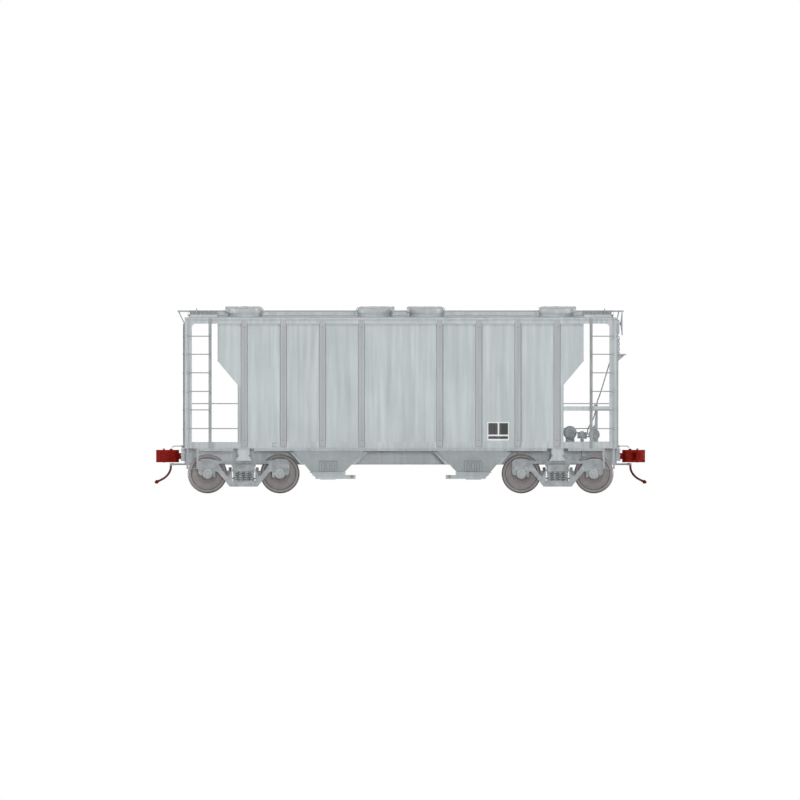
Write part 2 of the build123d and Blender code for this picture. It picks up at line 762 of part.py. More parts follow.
# Sill steps: flat-bar stirrups under each corner
step_legs_x = (4949, 5196)
step_leg = 52
step_bar = 12
step_z = 598
step_leg_y = (1508, 1520)
step_tread_y = (1428, 1520)
with BuildPart() as sill_steps:
    for end in (-1, 1):
        for side in (-1, 1):
            for x in step_legs_x:
                block(ordered(end * x, end * (x + step_leg)),
                      ordered(side * step_leg_y[0], side * step_leg_y[1]), (step_z, side_sill_z))
            block(ordered(end * step_legs_x[0], end * (step_legs_x[1] + step_leg)),
                  ordered(side * step_tread_y[0], side * step_tread_y[1]), (step_z, step_z + step_bar))
save(sill_steps.part, "sill_steps")

# Air brake gear on the platform at the hand brake end
platform_x = (4010, corner_x)
platform_y = (-560, 1250)
platform_z = side_sill_z + side_sill_height
platform_thickness = 10
bearer_width = 60
side_channel_z = (2024, 2134)
platform_top = platform_z + platform_thickness
with BuildPart() as brake_platform:
    block(platform_x, platform_y, (platform_z, platform_top))
    for side in (-1, 1):
        block((corner_in_x - 2, corner_x), span(side * end_post_y, end_post_width + 4),
              (platform_z, platform_top), Mode.SUBTRACT)
    # Bearer from side sill to side sill
    block((platform_x[0], platform_x[0] + bearer_width), (-sheet_y, sheet_y),
          (platform_z - 80, platform_z))
    # Channel across the side opening, between the slope end flange and the corner post
    for side in (-1, 1):
        rail_y = ordered(side * (sheet_y + 2), side * (sheet_y + 40))
        block((side_end_x, corner_x - angle_leg), rail_y, side_channel_z)
save(brake_platform.part, "brake_platform")

reservoir_radius = 165
reservoir_x = side_end_x + reservoir_radius - 7
reservoir_y = (330, 1200)
head_radius = 80
reservoir_z = platform_top + 55 + reservoir_radius
with BuildPart() as brake_reservoir:
    shell = Plane(origin=(reservoir_x, reservoir_y[0], reservoir_z), x_dir=(0, 1, 0), z_dir=(1, 0, 0))
    length = reservoir_y[1] - reservoir_y[0]
    with BuildSketch(shell) as shell_section:
        with BuildLine():
            Polyline((0, reservoir_radius - head_radius), (0, 0), (length, 0), (length, reservoir_radius - head_radius))
            RadiusArc((length, reservoir_radius - head_radius), (length - head_radius, reservoir_radius), -head_radius)
            Line((length - head_radius, reservoir_radius), (head_radius, reservoir_radius))
            RadiusArc((head_radius, reservoir_radius), (0, reservoir_radius - head_radius), -head_radius)
        make_face()
    revolve(shell_section.sketch, axis=Axis(shell.origin, (0, 1, 0)))
    for y in (reservoir_y[0] + 180, reservoir_y[1] - 180):
        block(span(reservoir_x, 220), span(y, 40), (platform_top, reservoir_z - 60))
save(brake_reservoir.part, "brake_reservoir")

gear_gap = 15
valve_width = 230
valve_x = (reservoir_x + reservoir_radius + gear_gap, reservoir_x + reservoir_radius + gear_gap + valve_width)
valve_y = (-147, 49)
valve_z = 1529
with BuildPart() as control_valve:
    valve_mid = sum(valve_x) / 2
    block((valve_mid - 45, valve_mid + 45), valve_y, (platform_top, valve_z))
    for way, radius in ((-1, 70), (1, 82)):
        portion = Plane(origin=(valve_mid, sum(valve_y) / 2, platform_top + 150), z_dir=(way, 0, 0))
        drum(portion, radius, (valve_x[1] - valve_x[0]) / 2)
save(control_valve.part, "control_valve")

cylinder_radius = 140
cylinder_x = valve_x[1] + gear_gap + 25 + cylinder_radius
cylinder_y = (90, 520)
cylinder_z = platform_top + 30 + cylinder_radius
with BuildPart() as brake_cylinder:
    head_plane = Plane(origin=(cylinder_x, cylinder_y[0], cylinder_z), z_dir=(0, 1, 0))
    drum(head_plane, cylinder_radius, 30)
    drum(head_plane, cylinder_radius - 18, cylinder_y[1] - cylinder_y[0])
    drum(head_plane.offset(cylinder_y[1] - cylinder_y[0] - 30), cylinder_radius, 30)
    round_bar((cylinder_x, cylinder_y[1], cylinder_z), (cylinder_x, cylinder_y[1] + 330, cylinder_z), 45)
    block(span(cylinder_x, 200), (cylinder_y[0], cylinder_y[1]), (platform_top, cylinder_z - cylinder_radius + 45))
save(brake_cylinder.part, "brake_cylinder")

# Hand brake: housing with its step and channel on the end frame, and the wheel on its shaft
brake_y = -400
brake_wheel_radius = 280
brake_z = walk_top_z - walk_depth - brake_wheel_radius - 8
brake_rim = 26
brake_wheel_x = 5424
brake_hub_x = 5394
brake_shaft = 32
housing_x = (corner_x, 5362)
channel_y = (-549, -331)
step_board_z = 3408
step_board_y = (-985, -181)
step_board_x = 5537
chain_foot_z = (1180, 1230)
with BuildPart() as hand_brake_housing:
    with BuildSketch(Plane.YZ.offset(housing_x[0])) as housing_outline:
        with BuildLine():
            Line((brake_y - 120, brake_z + 20), (brake_y - 150, brake_z - 250))
            Line((brake_y - 150, brake_z - 250), (brake_y + 150, brake_z - 250))
            Line((brake_y + 150, brake_z - 250), (brake_y + 120, brake_z + 20))
            RadiusArc((brake_y + 120, brake_z + 20), (brake_y - 120, brake_z + 20), -130)
        make_face()
    extrude(housing_outline.sketch, amount=housing_x[1] - housing_x[0])
    shaft_face = Plane(origin=(housing_x[1], brake_y, brake_z), z_dir=(1, 0, 0))
    drum(shaft_face, brake_shaft / 2, brake_hub_x + 24 - housing_x[1])
    # Channel behind the chain, from the housing down to the end sill
    channel_z = (side_sill_z + 20, brake_z - 250)
    block((corner_x, corner_x + 8), channel_y, channel_z)
    for y in channel_y:
        block((corner_x, corner_x + 40), span(y, 8), channel_z)
    # Chain rod hanging in the channel
    round_bar((corner_x + 26, brake_y, chain_foot_z[0]), (corner_x + 26, brake_y, brake_z - 240), 24)
    block((corner_x + 8, corner_x + 26), span(brake_y, 30), chain_foot_z)
    # Brakeman's step on two gussets
    block((corner_x + 40, step_board_x), step_board_y, (step_board_z - 13, step_board_z + 12))
    for y in channel_y:
        gusset_outline = [
            (corner_x + 40, step_board_z - 13),
            (step_board_x - 30, step_board_z - 13),
            (corner_x + 40, step_board_z - 164),
        ]
        across(gusset_outline, span(y, 8))
save(hand_brake_housing.part, "hand_brake_housing")

with BuildPart() as hand_brake_wheel:
    rim_face = Plane(origin=(brake_wheel_x - brake_rim / 2, brake_y, brake_z), z_dir=(1, 0, 0))
    drum(rim_face, brake_wheel_radius, brake_rim)
    drum(rim_face.offset(-5), brake_wheel_radius - brake_rim, brake_rim + 10, Mode.SUBTRACT)
    hub_face = Plane(origin=(brake_hub_x - 22, brake_y, brake_z), z_dir=(1, 0, 0))
    drum(hub_face, 42, 44)
    for n in range(5):
        turn = radians(18 + n * 72)
        spoke_end = brake_wheel_radius - brake_rim / 2
        start = (brake_hub_x, brake_y + 30 * cos(turn), brake_z + 30 * sin(turn))
        finish = (brake_wheel_x, brake_y + spoke_end * cos(turn), brake_z + spoke_end * sin(turn))
        round_bar(start, finish, 20)
    drum(hub_face.offset(-20), brake_shaft / 2 + fit, 90, Mode.SUBTRACT)
save(hand_brake_wheel.part, "hand_brake_wheel")

# Trucks: cast side frames with their bearings, a bolster with its bowl, springs and brake beams
wheel_base = 1778
tread_radius = 457
flange_radius = 482.5
axle_z = flange_radius
frame_y = 1003
frame_width = 170
frame_half_length = 1118
bearing_radius = 125
journal_radius = 75
cup_end_y = 1140
chord_top_z = 796
chord_bottom_z = 728
window_half = 282
column_half = 215
spring_seat_z = 309
frame_bottom = 164
bolster_beam_half = 190
bolster_gib_half = 238
bolster_gib = 24
bolster_end_z = (534, 712)
bolster_end_y = 1120
bowl_z = sill_bottom_z - 45
spring_radius = 62
spring_pitch = 137
spring_seat = 26
# Spring rows on each side frame: distance in from the frame's middle, and the springs in the row
spring_rows = [
    {"inset": 0, "count": 4},
    {"inset": 120, "count": 3},
]
frame_lip = 22
frame_pocket = 12
beam_x = 330
beam_z = 430
beam_radius = 25
shoe_gap = 8
rim_y = (678, 823)

frame_half = [
    (0, frame_bottom),
    (344, frame_bottom),
    (456, 309),
    (640, 527),
    (700, 540),
    (700, 395),
    (756, 395),
    (770, 560),
    (1008, 560),
    (1030, 430),
    (1100, 470),
    (frame_half_length, 560),
    (frame_half_length, 730),
    (1090, 805),
    (1030, 845),
    (830, 845),
    (700, 818),
    (600, chord_top_z),
]
window = [(620, 700), (590, chord_bottom_z), (320, chord_bottom_z), (270, 620), (370, 421), (407, 426)]

for end, name in ((-1, "a"), (1, "b")):
    cx = end * truck_x
    with BuildPart() as side_frames:
        for side in (-1, 1):
            frame_span = ordered(side * (frame_y - frame_width / 2), side * (frame_y + frame_width / 2))
            outline = [(cx + x, z) for x, z in frame_half]
            outline += [(cx - x, z) for x, z in reversed(frame_half[1:])]
            # The casting's outer face, and the same face set in by the width of its raised lip
            face_y = side * (frame_y + frame_width / 2)
            with BuildSketch(Plane.XZ.offset(-face_y)) as casting:
                with BuildLine():
                    Polyline(*outline, close=True)
                make_face()
                for hand in (-1, 1):
                    with BuildLine():
                        Polyline(*[(cx + hand * x, z) for x, z in window], close=True)
                    make_face(mode=Mode.SUBTRACT)
                spring_height = bolster_end_z[0] - spring_seat_z
                with Locations((cx, spring_seat_z + spring_height / 2)):
                    Rectangle(2 * window_half, spring_height, mode=Mode.SUBTRACT)
                column_height = chord_bottom_z - bolster_end_z[0]
                with Locations((cx, bolster_end_z[0] + column_height / 2)):
                    Rectangle(2 * column_half, column_height, mode=Mode.SUBTRACT)
            extrude(casting.sketch, amount=side * frame_width)
            with BuildSketch(Plane.XZ.offset(-face_y)) as pocket:
                add(casting.sketch)
                offset(amount=-frame_lip, kind=Kind.INTERSECTION)
            extrude(pocket.sketch, amount=side * frame_pocket, mode=Mode.SUBTRACT)
            # Spring seat, which carries the inner row of springs too
            block((cx - window_half, cx + window_half),
                  ordered(side * (frame_y - 230), side * (frame_y - frame_width / 2)),
                  (spring_seat_z - spring_seat, spring_seat_z))
            for hand in (-1, 1):
                # Adapter and bearing cup in the pedestal
                ax = cx + hand * wheel_base / 2
                block(span(ax, 200), frame_span, (axle_z, 570))
                cup = Plane(origin=(ax, frame_span[0] if side > 0 else frame_span[1], axle_z), z_dir=(0, side, 0))
                drum(cup, bearing_radius, cup_end_y - frame_y + frame_width / 2)
                drum(cup.offset(-5), journal_radius + fit, bore_reach, Mode.SUBTRACT)
    save(side_frames.part, f"side_frames_{name}")

    with BuildPart() as truck_bolster:
        bolster_side = [
            (-bolster_end_y, bolster_end_z[0]),
            (-bolster_end_y, bolster_end_z[1]),
            (-820, bolster_end_z[1]),
            (-430, bowl_z - fit),
            (430, bowl_z - fit),
            (820, bolster_end_z[1]),
            (bolster_end_y, bolster_end_z[1]),
            (bolster_end_y, bolster_end_z[0]),
            (820, bolster_end_z[0]),
            (430, 420),
            (-430, 420),
            (-820, bolster_end_z[0]),
        ]
        along(bolster_side, span(cx, 2 * bolster_beam_half))
        for side in (-1, 1):
            # Side bearing under the body bolster
            block(span(cx, 260), span(side * 640, 110), (bowl_z - 30, 775))
            # Gibs that hold the side frame's columns between them
            gib_y = side * (frame_y + frame_width / 2 + 4)
            block(span(cx, 2 * bolster_gib_half), ordered(gib_y, gib_y + side * bolster_gib), bolster_end_z)
        # Bowl rim around the body's centre plate
        bowl = Plane(origin=(cx, 0, bowl_z - 30), z_dir=(0, 0, 1))
        drum(bowl, 222, 58)
        drum(bowl.offset(30 - fit), 192, 60, Mode.SUBTRACT)
    save(truck_bolster.part, f"truck_bolster_{name}")

    with BuildPart() as truck_springs:
        for side in (-1, 1):
            for row in spring_rows:
                for n in range(row["count"]):
                    spring_x = cx + (n - (row["count"] - 1) / 2) * spring_pitch
                    seat = Plane(origin=(spring_x, side * (frame_y - row["inset"]), spring_seat_z), z_dir=(0, 0, 1))
                    drum(seat, spring_radius, bolster_end_z[0] - spring_seat_z)
    save(truck_springs.part, f"truck_springs_{name}")

    with BuildPart() as brake_beams:
        reach = frame_y - frame_width / 2
        for hand in (-1, 1):
            bx = cx + hand * beam_x
            round_bar((bx, -reach, beam_z), (bx, reach, beam_z), 2 * beam_radius)
            for side in (-1, 1):
                # Shoe head, hollowed to the tread's curve
                shoe_x = ordered(cx + hand * beam_x, cx + hand * 480)
                block(shoe_x, span(side * 765, 88), (beam_z - 130, beam_z + 130))
                wheel_axis = Plane(origin=(cx + hand * wheel_base / 2, side * 765 - 60, axle_z), z_dir=(0, 1, 0))
                drum(wheel_axis, tread_radius + shoe_gap, 120, Mode.SUBTRACT)
    save(brake_beams.part, f"brake_beams_{name}")

    # Wheelsets: axle, two wheels with flanges and dished plates, and the bearing end caps
    for hand, axle_name in ((-1, "outer" if end < 0 else "inner"), (1, "inner" if end < 0 else "outer")):
        ax = cx + hand * wheel_base / 2
        wheel_half = [
            (560, 82),
            (600, 95),
            (660, 95),
            (660, 150),
            (700, 165),
            (742, 250),
            (732, 385),
            (rim_y[0], 400),
            (rim_y[0], 472),
            (rim_y[0] + 8, flange_radius),
            (rim_y[0] + 22, flange_radius),
            (rim_y[0] + 31, 466),
            (rim_y[0] + 40, tread_radius + 1),
            (rim_y[1] - 6, tread_radius - 5),
            (rim_y[1], tread_radius - 11),
            (rim_y[1], 400),
            (764, 382),
            (772, 250),
            (752, 165),
            (850, 150),
            (850, 95),
            (900, journal_radius),
            (cup_end_y + 1, journal_radius),
            (cup_end_y + 1, 100),
            (cup_end_y + 40, 100),
            (cup_end_y + 52, 60),
            (cup_end_y + 52, 0),
        ]
        axle_plane = Plane(origin=(ax, 0, axle_z), x_dir=(0, 1, 0), z_dir=(1, 0, 0))
        with BuildPart() as wheelset:
            with BuildSketch(axle_plane) as wheel_section:
                with BuildLine():
                    Polyline(*wheel_half, *[(-y, r) for y, r in reversed(wheel_half)], close=True)
                make_face()
            revolve(wheel_section.sketch, axis=Axis(axle_plane.origin, (0, 1, 0)))
        save(wheelset.part, f"wheelset_{name}_{axle_name}")

# Couplers: a shank on its draft pin, a head with guard arm and knuckle lugs, and the knuckle
head_x = 5428
head_half_height = 153
knuckle_pin = (5800, -150)
knuckle_pin_radius = 21
knuckle_half_height = 92
lug_radius = 74
# Plan of the head: distance on from its back face, and distance across
head_plan = [
    (337, 20),
    (272, -60),
    (272, -150),
    (212, -218),
    (92, -200),
    (0, -75),
    (0, 75),
    (92, 215),
    (272, 290),
    (472, 321),
    (554, 308),
    (562, 276),
    (522, 240),
    (432, 195),
    (372, 110),
]
lug_plan = [(212, -218), (362, -223), (372, -80), (262, -40)]
# Plan of the knuckle: distances along and across from its pin
knuckle_plan = [
    (-65, 0),
    (-60, 50),
    (30, 80),
    (80, 160),
    (85, 220),
    (125, 242),
    (162, 220),
    (175, 150),
    (165, 40),
    (120, -30),
    (50, -64),
    (-20, -62),
]
for end, name in ((-1, "a"), (1, "b")):

    def plan(x, y):
        # A point of the B end's plan, turned half round for the A end
        return (end * x, end * y)

    with BuildPart() as coupler:
        with BuildSketch(Plane.XY.offset(coupler_z - shank_half[1])) as shank:
            with Locations(plan((draft_pin_x + head_x + 20) / 2, 0)):
                Rectangle(head_x + 20 - draft_pin_x, 2 * shank_half[0])
            with Locations(plan(draft_pin_x, 0)):
                Circle(shank_half[0])
        extrude(shank.sketch, amount=2 * shank_half[1])
        with BuildSketch(Plane.XY.offset(coupler_z - head_half_height)) as head:
            with BuildLine():
                Polyline(*[plan(head_x + x, y) for x, y in head_plan], close=True)
            make_face()
        extrude(head.sketch, amount=2 * head_half_height)
        # Lugs above and below the knuckle, with the pin through them
        lug_depth = head_half_height - knuckle_half_height - 2
        for low in (coupler_z - head_half_height, coupler_z + knuckle_half_height + 2):
            with BuildSketch(Plane.XY.offset(low)) as lug:
                with Locations(plan(*knuckle_pin)):
                    Circle(lug_radius)
                with BuildLine():
                    Polyline(*[plan(head_x + x, y) for x, y in lug_plan], close=True)
                make_face()
            extrude(lug.sketch, amount=lug_depth)
        pin_base = Plane(origin=(*plan(*knuckle_pin), coupler_z - head_half_height - 6), z_dir=(0, 0, 1))
        drum(pin_base, knuckle_pin_radius, 2 * head_half_height + 24)
        # Lock lifter stub on top of the head
        drum(Plane(origin=(*plan(head_x + 192, 0), coupler_z + head_half_height - 2), z_dir=(0, 0, 1)), 36, 30)
        draft_bore = Plane(origin=(*plan(draft_pin_x, 0), coupler_z - bore_reach / 2), z_dir=(0, 0, 1))
        drum(draft_bore, draft_pin_radius + fit, bore_reach, Mode.SUBTRACT)
    save(coupler.part, f"coupler_{name}")

    with BuildPart() as knuckle:
        with BuildSketch(Plane.XY.offset(coupler_z - knuckle_half_height)) as hook:
            with BuildLine():
                Polyline(*[plan(knuckle_pin[0] + x, knuckle_pin[1] + y) for x, y in knuckle_plan], close=True)
            make_face()
        extrude(hook.sketch, amount=2 * knuckle_half_height)
        knuckle_bore = Plane(origin=(*plan(*knuckle_pin), coupler_z - bore_reach / 2), z_dir=(0, 0, 1))
        drum(knuckle_bore, knuckle_pin_radius + fit, bore_reach, Mode.SUBTRACT)
    save(knuckle.part, f"knuckle_{name}")

# Train pipe: leaves the sill's web behind the bolster, runs under the striker to an angle cock
pipe_diameter = 42
pipe_y = 300
pipe_low_z = 715
hose_exit = (5628, pipe_y, 685)
with BuildPart() as train_pipe:
    for end in (-1, 1):
        route = [
            (end * 4450, end * sill_angle_half, 800),
            (end * 4450, end * pipe_y, 800),
            (end * 4650, end * pipe_y, 800),
            (end * 4850, end * pipe_y, pipe_low_z),
            (end * 5560, end * pipe_y, pipe_low_z),
        ]
        with BuildLine() as pipe_path:
            FilletPolyline(*route, radius=60)
        with BuildSketch(Plane(origin=route[0], z_dir=(0, end, 0))) as pipe_section:
            Circle(pipe_diameter / 2)
        sweep(pipe_section.sketch, path=pipe_path.line)
        # Hanger strap from the end sill
        block(ordered(end * (corner_x - angle_leg), end * corner_x), span(end * pipe_y, 40),
              (pipe_low_z + 5, side_sill_z))
        # Angle cock with its nozzle pointing down and the handle socket on top
        cock = Plane(origin=(end * 5550, end * pipe_y, pipe_low_z), z_dir=(end, 0, 0))
        drum(cock, 30, 60)
        cock_body = Plane(origin=(end * hose_exit[0], end * pipe_y, hose_exit[2]), z_dir=(0, 0, 1))
        drum(cock_body, 32, 56)
        block(ordered(end * 5600, end * 5630), span(end * pipe_y, 40), (pipe_low_z - 20, pipe_low_z + 20))
save(train_pipe.part, "train_pipe")

# Air hoses: free cords from the angle cocks to their glad hands
hose_diameter = 54
hose_route = [
    hose_exit,
    (5628, 300, 605),
    (5668, 270, 505),
    (5735, 225, 420),
    (5825, 165, 352),
    (5925, 110, 305),
]
glad_hand_length = 112


def corner_radii(points):
    radii = []
    for before, corner, after in zip(points, points[1:], points[2:]):
        arriving = Vector(*corner) - Vector(*before)
        leaving = Vector(*after) - Vector(*corner)
        half_turn = radians(arriving.get_angle(leaving) / 2)
        radii.append(0.45 * min(arriving.length, leaving.length) / tan(half_turn))
    return radii


for end, name in ((-1, "a"), (1, "b")):
    route = [(end * x, end * y, z) for x, y, z in hose_route]
    radii = corner_radii(route)
    print("hose radii", name, [round(r) for r in radii])
    with BuildPart() as air_hose:
        with BuildLine() as hose_path:
            FilletPolyline(*route, radius=radii)
        first = Vector(*route[1]) - Vector(*route[0])
        with BuildSketch(Plane(origin=route[0], z_dir=first)) as hose_section:
            Circle(hose_diameter / 2)
        sweep(hose_section.sketch, path=hose_path.line)
        hose_length = hose_path.wire().length
        straight_volume = hose_length * pi * (hose_diameter / 2) ** 2
        print("hose length", name, round(hose_length), "volume ratio", round(air_hose.part.volume / straight_volume, 4))
    save(air_hose.part, f"air_hose_{name}")

    last = (Vector(*route[-1]) - Vector(*route[-2])).normalized()
    with BuildPart() as glad_hand:
        stem = Plane(origin=route[-1], z_dir=last)
        drum(stem, 30, 50)
        drum(stem.offset(40), 46, 30)
        # The flat face that meets the other car's glad hand
        face_plane = Plane(origin=Vector(*route[-1]) + last * 78, x_dir=last, z_dir=last.cross(Vector(0, 0, 1)))
        drum(face_plane.offset(-18), 34, 36)
    save(glad_hand.part, f"glad_hand_{name}")
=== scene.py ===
"""Looks of a two-bay covered hopper car with round roof hatches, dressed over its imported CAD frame."""

import logging
import math
from collections.abc import Callable, Sequence
from dataclasses import dataclass
from enum import Enum
from functools import partial
from itertools import product

import bmesh
import bpy
from mathutils import Matrix, Vector


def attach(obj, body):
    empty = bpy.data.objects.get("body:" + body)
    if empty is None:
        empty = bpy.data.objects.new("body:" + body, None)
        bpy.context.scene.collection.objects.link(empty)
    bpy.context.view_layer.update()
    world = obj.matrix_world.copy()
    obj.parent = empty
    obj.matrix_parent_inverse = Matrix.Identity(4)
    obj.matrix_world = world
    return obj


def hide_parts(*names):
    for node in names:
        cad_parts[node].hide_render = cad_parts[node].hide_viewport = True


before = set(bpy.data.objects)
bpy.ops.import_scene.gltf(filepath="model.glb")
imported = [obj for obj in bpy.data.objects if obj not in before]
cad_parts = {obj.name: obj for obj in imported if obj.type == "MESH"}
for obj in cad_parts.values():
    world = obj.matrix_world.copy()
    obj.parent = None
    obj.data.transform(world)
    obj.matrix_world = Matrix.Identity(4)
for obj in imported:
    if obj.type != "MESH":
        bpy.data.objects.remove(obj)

LOG = logging.getLogger("hopper_car")
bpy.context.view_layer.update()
MM = 0.001
# How deep a thin piece sits in the face that carries it
SEAT = 1 * MM
# Share of a bolt head's height below its chamfer, and of its width above it
CHAMFER = (0.75, 0.78)
# A bar's mitre is stretched no further than at a bend this sharp, as the cosine of half its turn
SHARPEST = 0.3
# The most of a stretch that the bend at one of its ends may take
MOST_BENT = 0.45
# Ends of the car with the letters of their nodes, and the two sides across it
ENDS = ((-1, "a"), (1, "b"))
SIDES = (-1, 1)

Pair = tuple[float, float]
Point = tuple[float, float, float]
Node = bpy.types.Node
Socket = bpy.types.NodeSocket
Tree = bpy.types.NodeTree
Value = float | Sequence[float] | Node | Socket


def scaled(sign: int, values: Sequence[float]) -> list[float]:
    """Carry places over to one side or end of the car.

    Args:
        sign: 1 to keep them, or -1 for the other side or end.
        values: Places across or along the car in metres.

    Returns:
        The places there.
    """
    return [sign * value for value in values]


def turned(end: int, points: Sequence[Point]) -> list[Point]:
    """Carry points over to one end of the car, which looks the same after half a turn.

    Args:
        end: -1 for the A end and 1 for the B end.
        points: Points at the B end in metres.

    Returns:
        The points there.
    """
    return [(end * x, end * y, z) for x, y, z in points]


def about(middle: float, half: float) -> Pair:
    """Give the range that reaches equally far to both sides of its middle.

    Args:
        middle: Its middle in metres.
        half: Half its length.

    Returns:
        Its low and its high end.
    """
    return (middle - half, middle + half)


def scale(mm: float) -> float:
    """Give a pattern the scale of a real size.

    Args:
        mm: Width of one cell of the pattern in millimetres.

    Returns:
        Number of cells in a metre.
    """
    return 1 / (mm * MM)


def linear(code: str) -> tuple[float, float, float, float]:
    """Turn an sRGB hex colour into the linear colour that a shader socket takes.

    Args:
        code: Six hex digits after a hash sign.

    Returns:
        Linear red, green, blue and an alpha of 1.
    """
    channels = [int(code[i : i + 2], 16) / 255 for i in (1, 3, 5)]
    red, green, blue = (c / 12.92 if c <= 0.04045 else ((c + 0.055) / 1.055) ** 2.4 for c in channels)
    return (red, green, blue, 1.0)


def add_node(tree: Tree, kind: str, inputs: dict[str | int, Value] | None = None, **settings: object) -> Node:
    """Add one shader node with its settings, socket values and links.

    Args:
        tree: Node tree that gets the node.
        kind: Type of the node, without the words that every shader node's type starts with.
        inputs: By socket name or number, a value, a socket to link, or a node to link by its first output.
        settings: Attribute values by name.

    Returns:
        The new node.
    """
    node = tree.nodes.new(f"ShaderNode{kind}")
    for name, value in settings.items():
        setattr(node, name, value)
    for key, value in (inputs or {}).items():
        source = value.outputs[0] if isinstance(value, Node) else value
        if isinstance(source, Socket):
            tree.links.new(source, node.inputs[key])
        else:
            node.inputs[key].default_value = source
    return node


def empty_tree(owner: bpy.types.Material | bpy.types.World) -> Tree:
    """Turn on the nodes of a material or a world and clear them.

    Args:
        owner: Material or world.

    Returns:
        Its empty node tree.
    """
    owner.use_nodes = True
    owner.node_tree.nodes.clear()
    return owner.node_tree


def stand(name: str, data: bpy.types.ID) -> bpy.types.Object:
    """Make an object and put it in the scene.

    Args:
        name: Name of the object.
        data: Its mesh, curve, lamp or camera.

    Returns:
        The new object.
    """
    made = bpy.data.objects.new(name, data)
    bpy.context.scene.collection.objects.link(made)
    return made


@dataclass(frozen=True)
class Finish:
    """Skin of a piece, drawn in the piece's own coordinates."""

    name: str

    def build(self) -> bpy.types.Material:
        """Make the material from its drawing to its output.

        Returns:
            The material.
        """
        material = bpy.data.materials.new(self.name)
        tree = empty_tree(material)
        place = add_node(tree, "TexCoord").outputs["Object"]
        shader = add_node(tree, "BsdfPrincipled", self.draw(tree, place))
        add_node(tree, "OutputMaterial", {"Surface": shader})
        return material

    def draw(self, tree: Tree, place: Socket) -> dict[str, Value]:
        """Draw the finish in its own way and give what the principled shader's sockets get."""
        raise NotImplementedError


@dataclass(frozen=True)
class PaintedSteel(Finish):
    """Sprayed enamel on steel sheet: an even satin coat with rain streaks and a little road dust low down."""

    colour: str
    shade: str
    dust: str = "#9A9288"
    roughness: float = 0.48
    # Rain runs down the sheet, so the streaks' noise is drawn out along Z
    streak_mm: float = 95.0
    streak_squeeze: float = 0.05
    patch_mm: float = 1400.0
    wear_range: Pair = (0.16, 0.42)
    wear_most: float = 0.55
    # Orange peel is about 2 mm wide, and is drawn coarser so that it shows
    peel_mm: float = 9.0
    peel_strength: float = 0.08
    relief_mm: float = 2.0
    # The streaks' noise where the coat is smoothest and roughest, and what each adds to the roughness
    gloss_range: Pair = (0.3, 0.7)
    gloss_spread: Pair = (-0.06, 0.12)
    dust_z: Pair = (0.1, 1.15)
    dust_amount: float = 0.12

    def draw(self, tree: Tree, place: Socket) -> dict[str, Value]:
        """Draw the enamel with its streaks, patches, dust and orange peel.

        Args:
            tree: Node tree of the material.
            place: Socket of the object's own coordinates.

        Returns:
            What the principled shader's sockets get.
        """
        drawn_out = add_node(tree, "Mapping", {"Vector": place, "Scale": (1.0, 1.0, self.streak_squeeze)})
        runs = {"Vector": drawn_out, "Scale": scale(self.streak_mm), "Detail": 4.0}
        streaks = add_node(tree, "TexNoise", runs)
        patches = add_node(tree, "TexNoise", {"Vector": place, "Scale": scale(self.patch_mm), "Detail": 3.0})
        both = add_node(tree, "Math", {0: streaks, 1: patches}, operation="MULTIPLY")
        low, high = self.wear_range
        limits = {"From Min": low, "From Max": high, "To Max": self.wear_most}
        wear = add_node(tree, "MapRange", {"Value": both, **limits})
        tones = {0: wear, 6: linear(self.colour), 7: linear(self.shade)}
        paint = add_node(tree, "Mix", tones, data_type="RGBA").outputs[2]
        # Road dust fades out upwards from the wheels
        height = add_node(tree, "SeparateXYZ", {0: place}).outputs["Z"]
        low, high = self.dust_z
        limits = {"From Min": low, "From Max": high, "To Min": self.dust_amount, "To Max": 0.0}
        fading = add_node(tree, "MapRange", {"Value": height, **limits})
        dusty = add_node(tree, "Math", {0: fading, 1: patches}, operation="MULTIPLY")
        layers = {0: dusty, 6: self._tint(tree, place, paint), 7: linear(self.dust)}
        coat = add_node(tree, "Mix", layers, data_type="RGBA").outputs[2]
        peel = add_node(tree, "TexNoise", {"Vector": place, "Scale": scale(self.peel_mm), "Detail": 2.0})
        bumps = {"Strength": self.peel_strength, "Distance": self.relief_mm * MM, "Height": peel}
        relief = add_node(tree, "Bump", bumps)
        low, high = self.gloss_range
        smoothest, roughest = (self.roughness + spread for spread in self.gloss_spread)
        limits = {"From Min": low, "From Max": high, "To Min": smoothest, "To Max": roughest}
        gloss = add_node(tree, "MapRange", {"Value": streaks, **limits})
        return {"Base Color": coat, "Roughness": gloss, "Normal": relief}

    def _tint(self, tree: Tree, place: Socket, paint: Socket) -> Socket:
        """Give the paint as it is, which the sides' finish changes with painted shade on the posts."""
        return paint


@dataclass(frozen=True)
class PostedSide(PaintedSteel):
    """Enamel of the sides, with painted shade that makes the posts standing off the sheet a darker grey than
    it.
    """

    # Painted shade: the posts get a darker grey than the sheet, though they face the light as the sheet does
    post: str = "#A9ADB0"
    post_shade_share: float = 0.9
    sheet_y: float = 1.4625

    def _tint(self, tree: Tree, place: Socket, paint: Socket) -> Socket:
        """Paint shade on what stands off the sheet.

        Args:
            tree: Node tree of the material.
            place: Socket of the object's own coordinates.
            paint: Socket of the even paint.

        Returns:
            Socket of the paint with painted shade on what stands off the sheet.
        """
        wide = add_node(tree, "SeparateXYZ", {0: place}).outputs["Y"]
        away = add_node(tree, "Math", {0: wide}, operation="ABSOLUTE")
        stands = add_node(tree, "Math", {0: away, 1: self.sheet_y}, operation="GREATER_THAN")
        share = add_node(tree, "Math", {0: stands, 1: self.post_shade_share}, operation="MULTIPLY")
        return add_node(tree, "Mix", {0: share, 6: paint, 7: linear(self.post)}, data_type="RGBA").outputs[2]


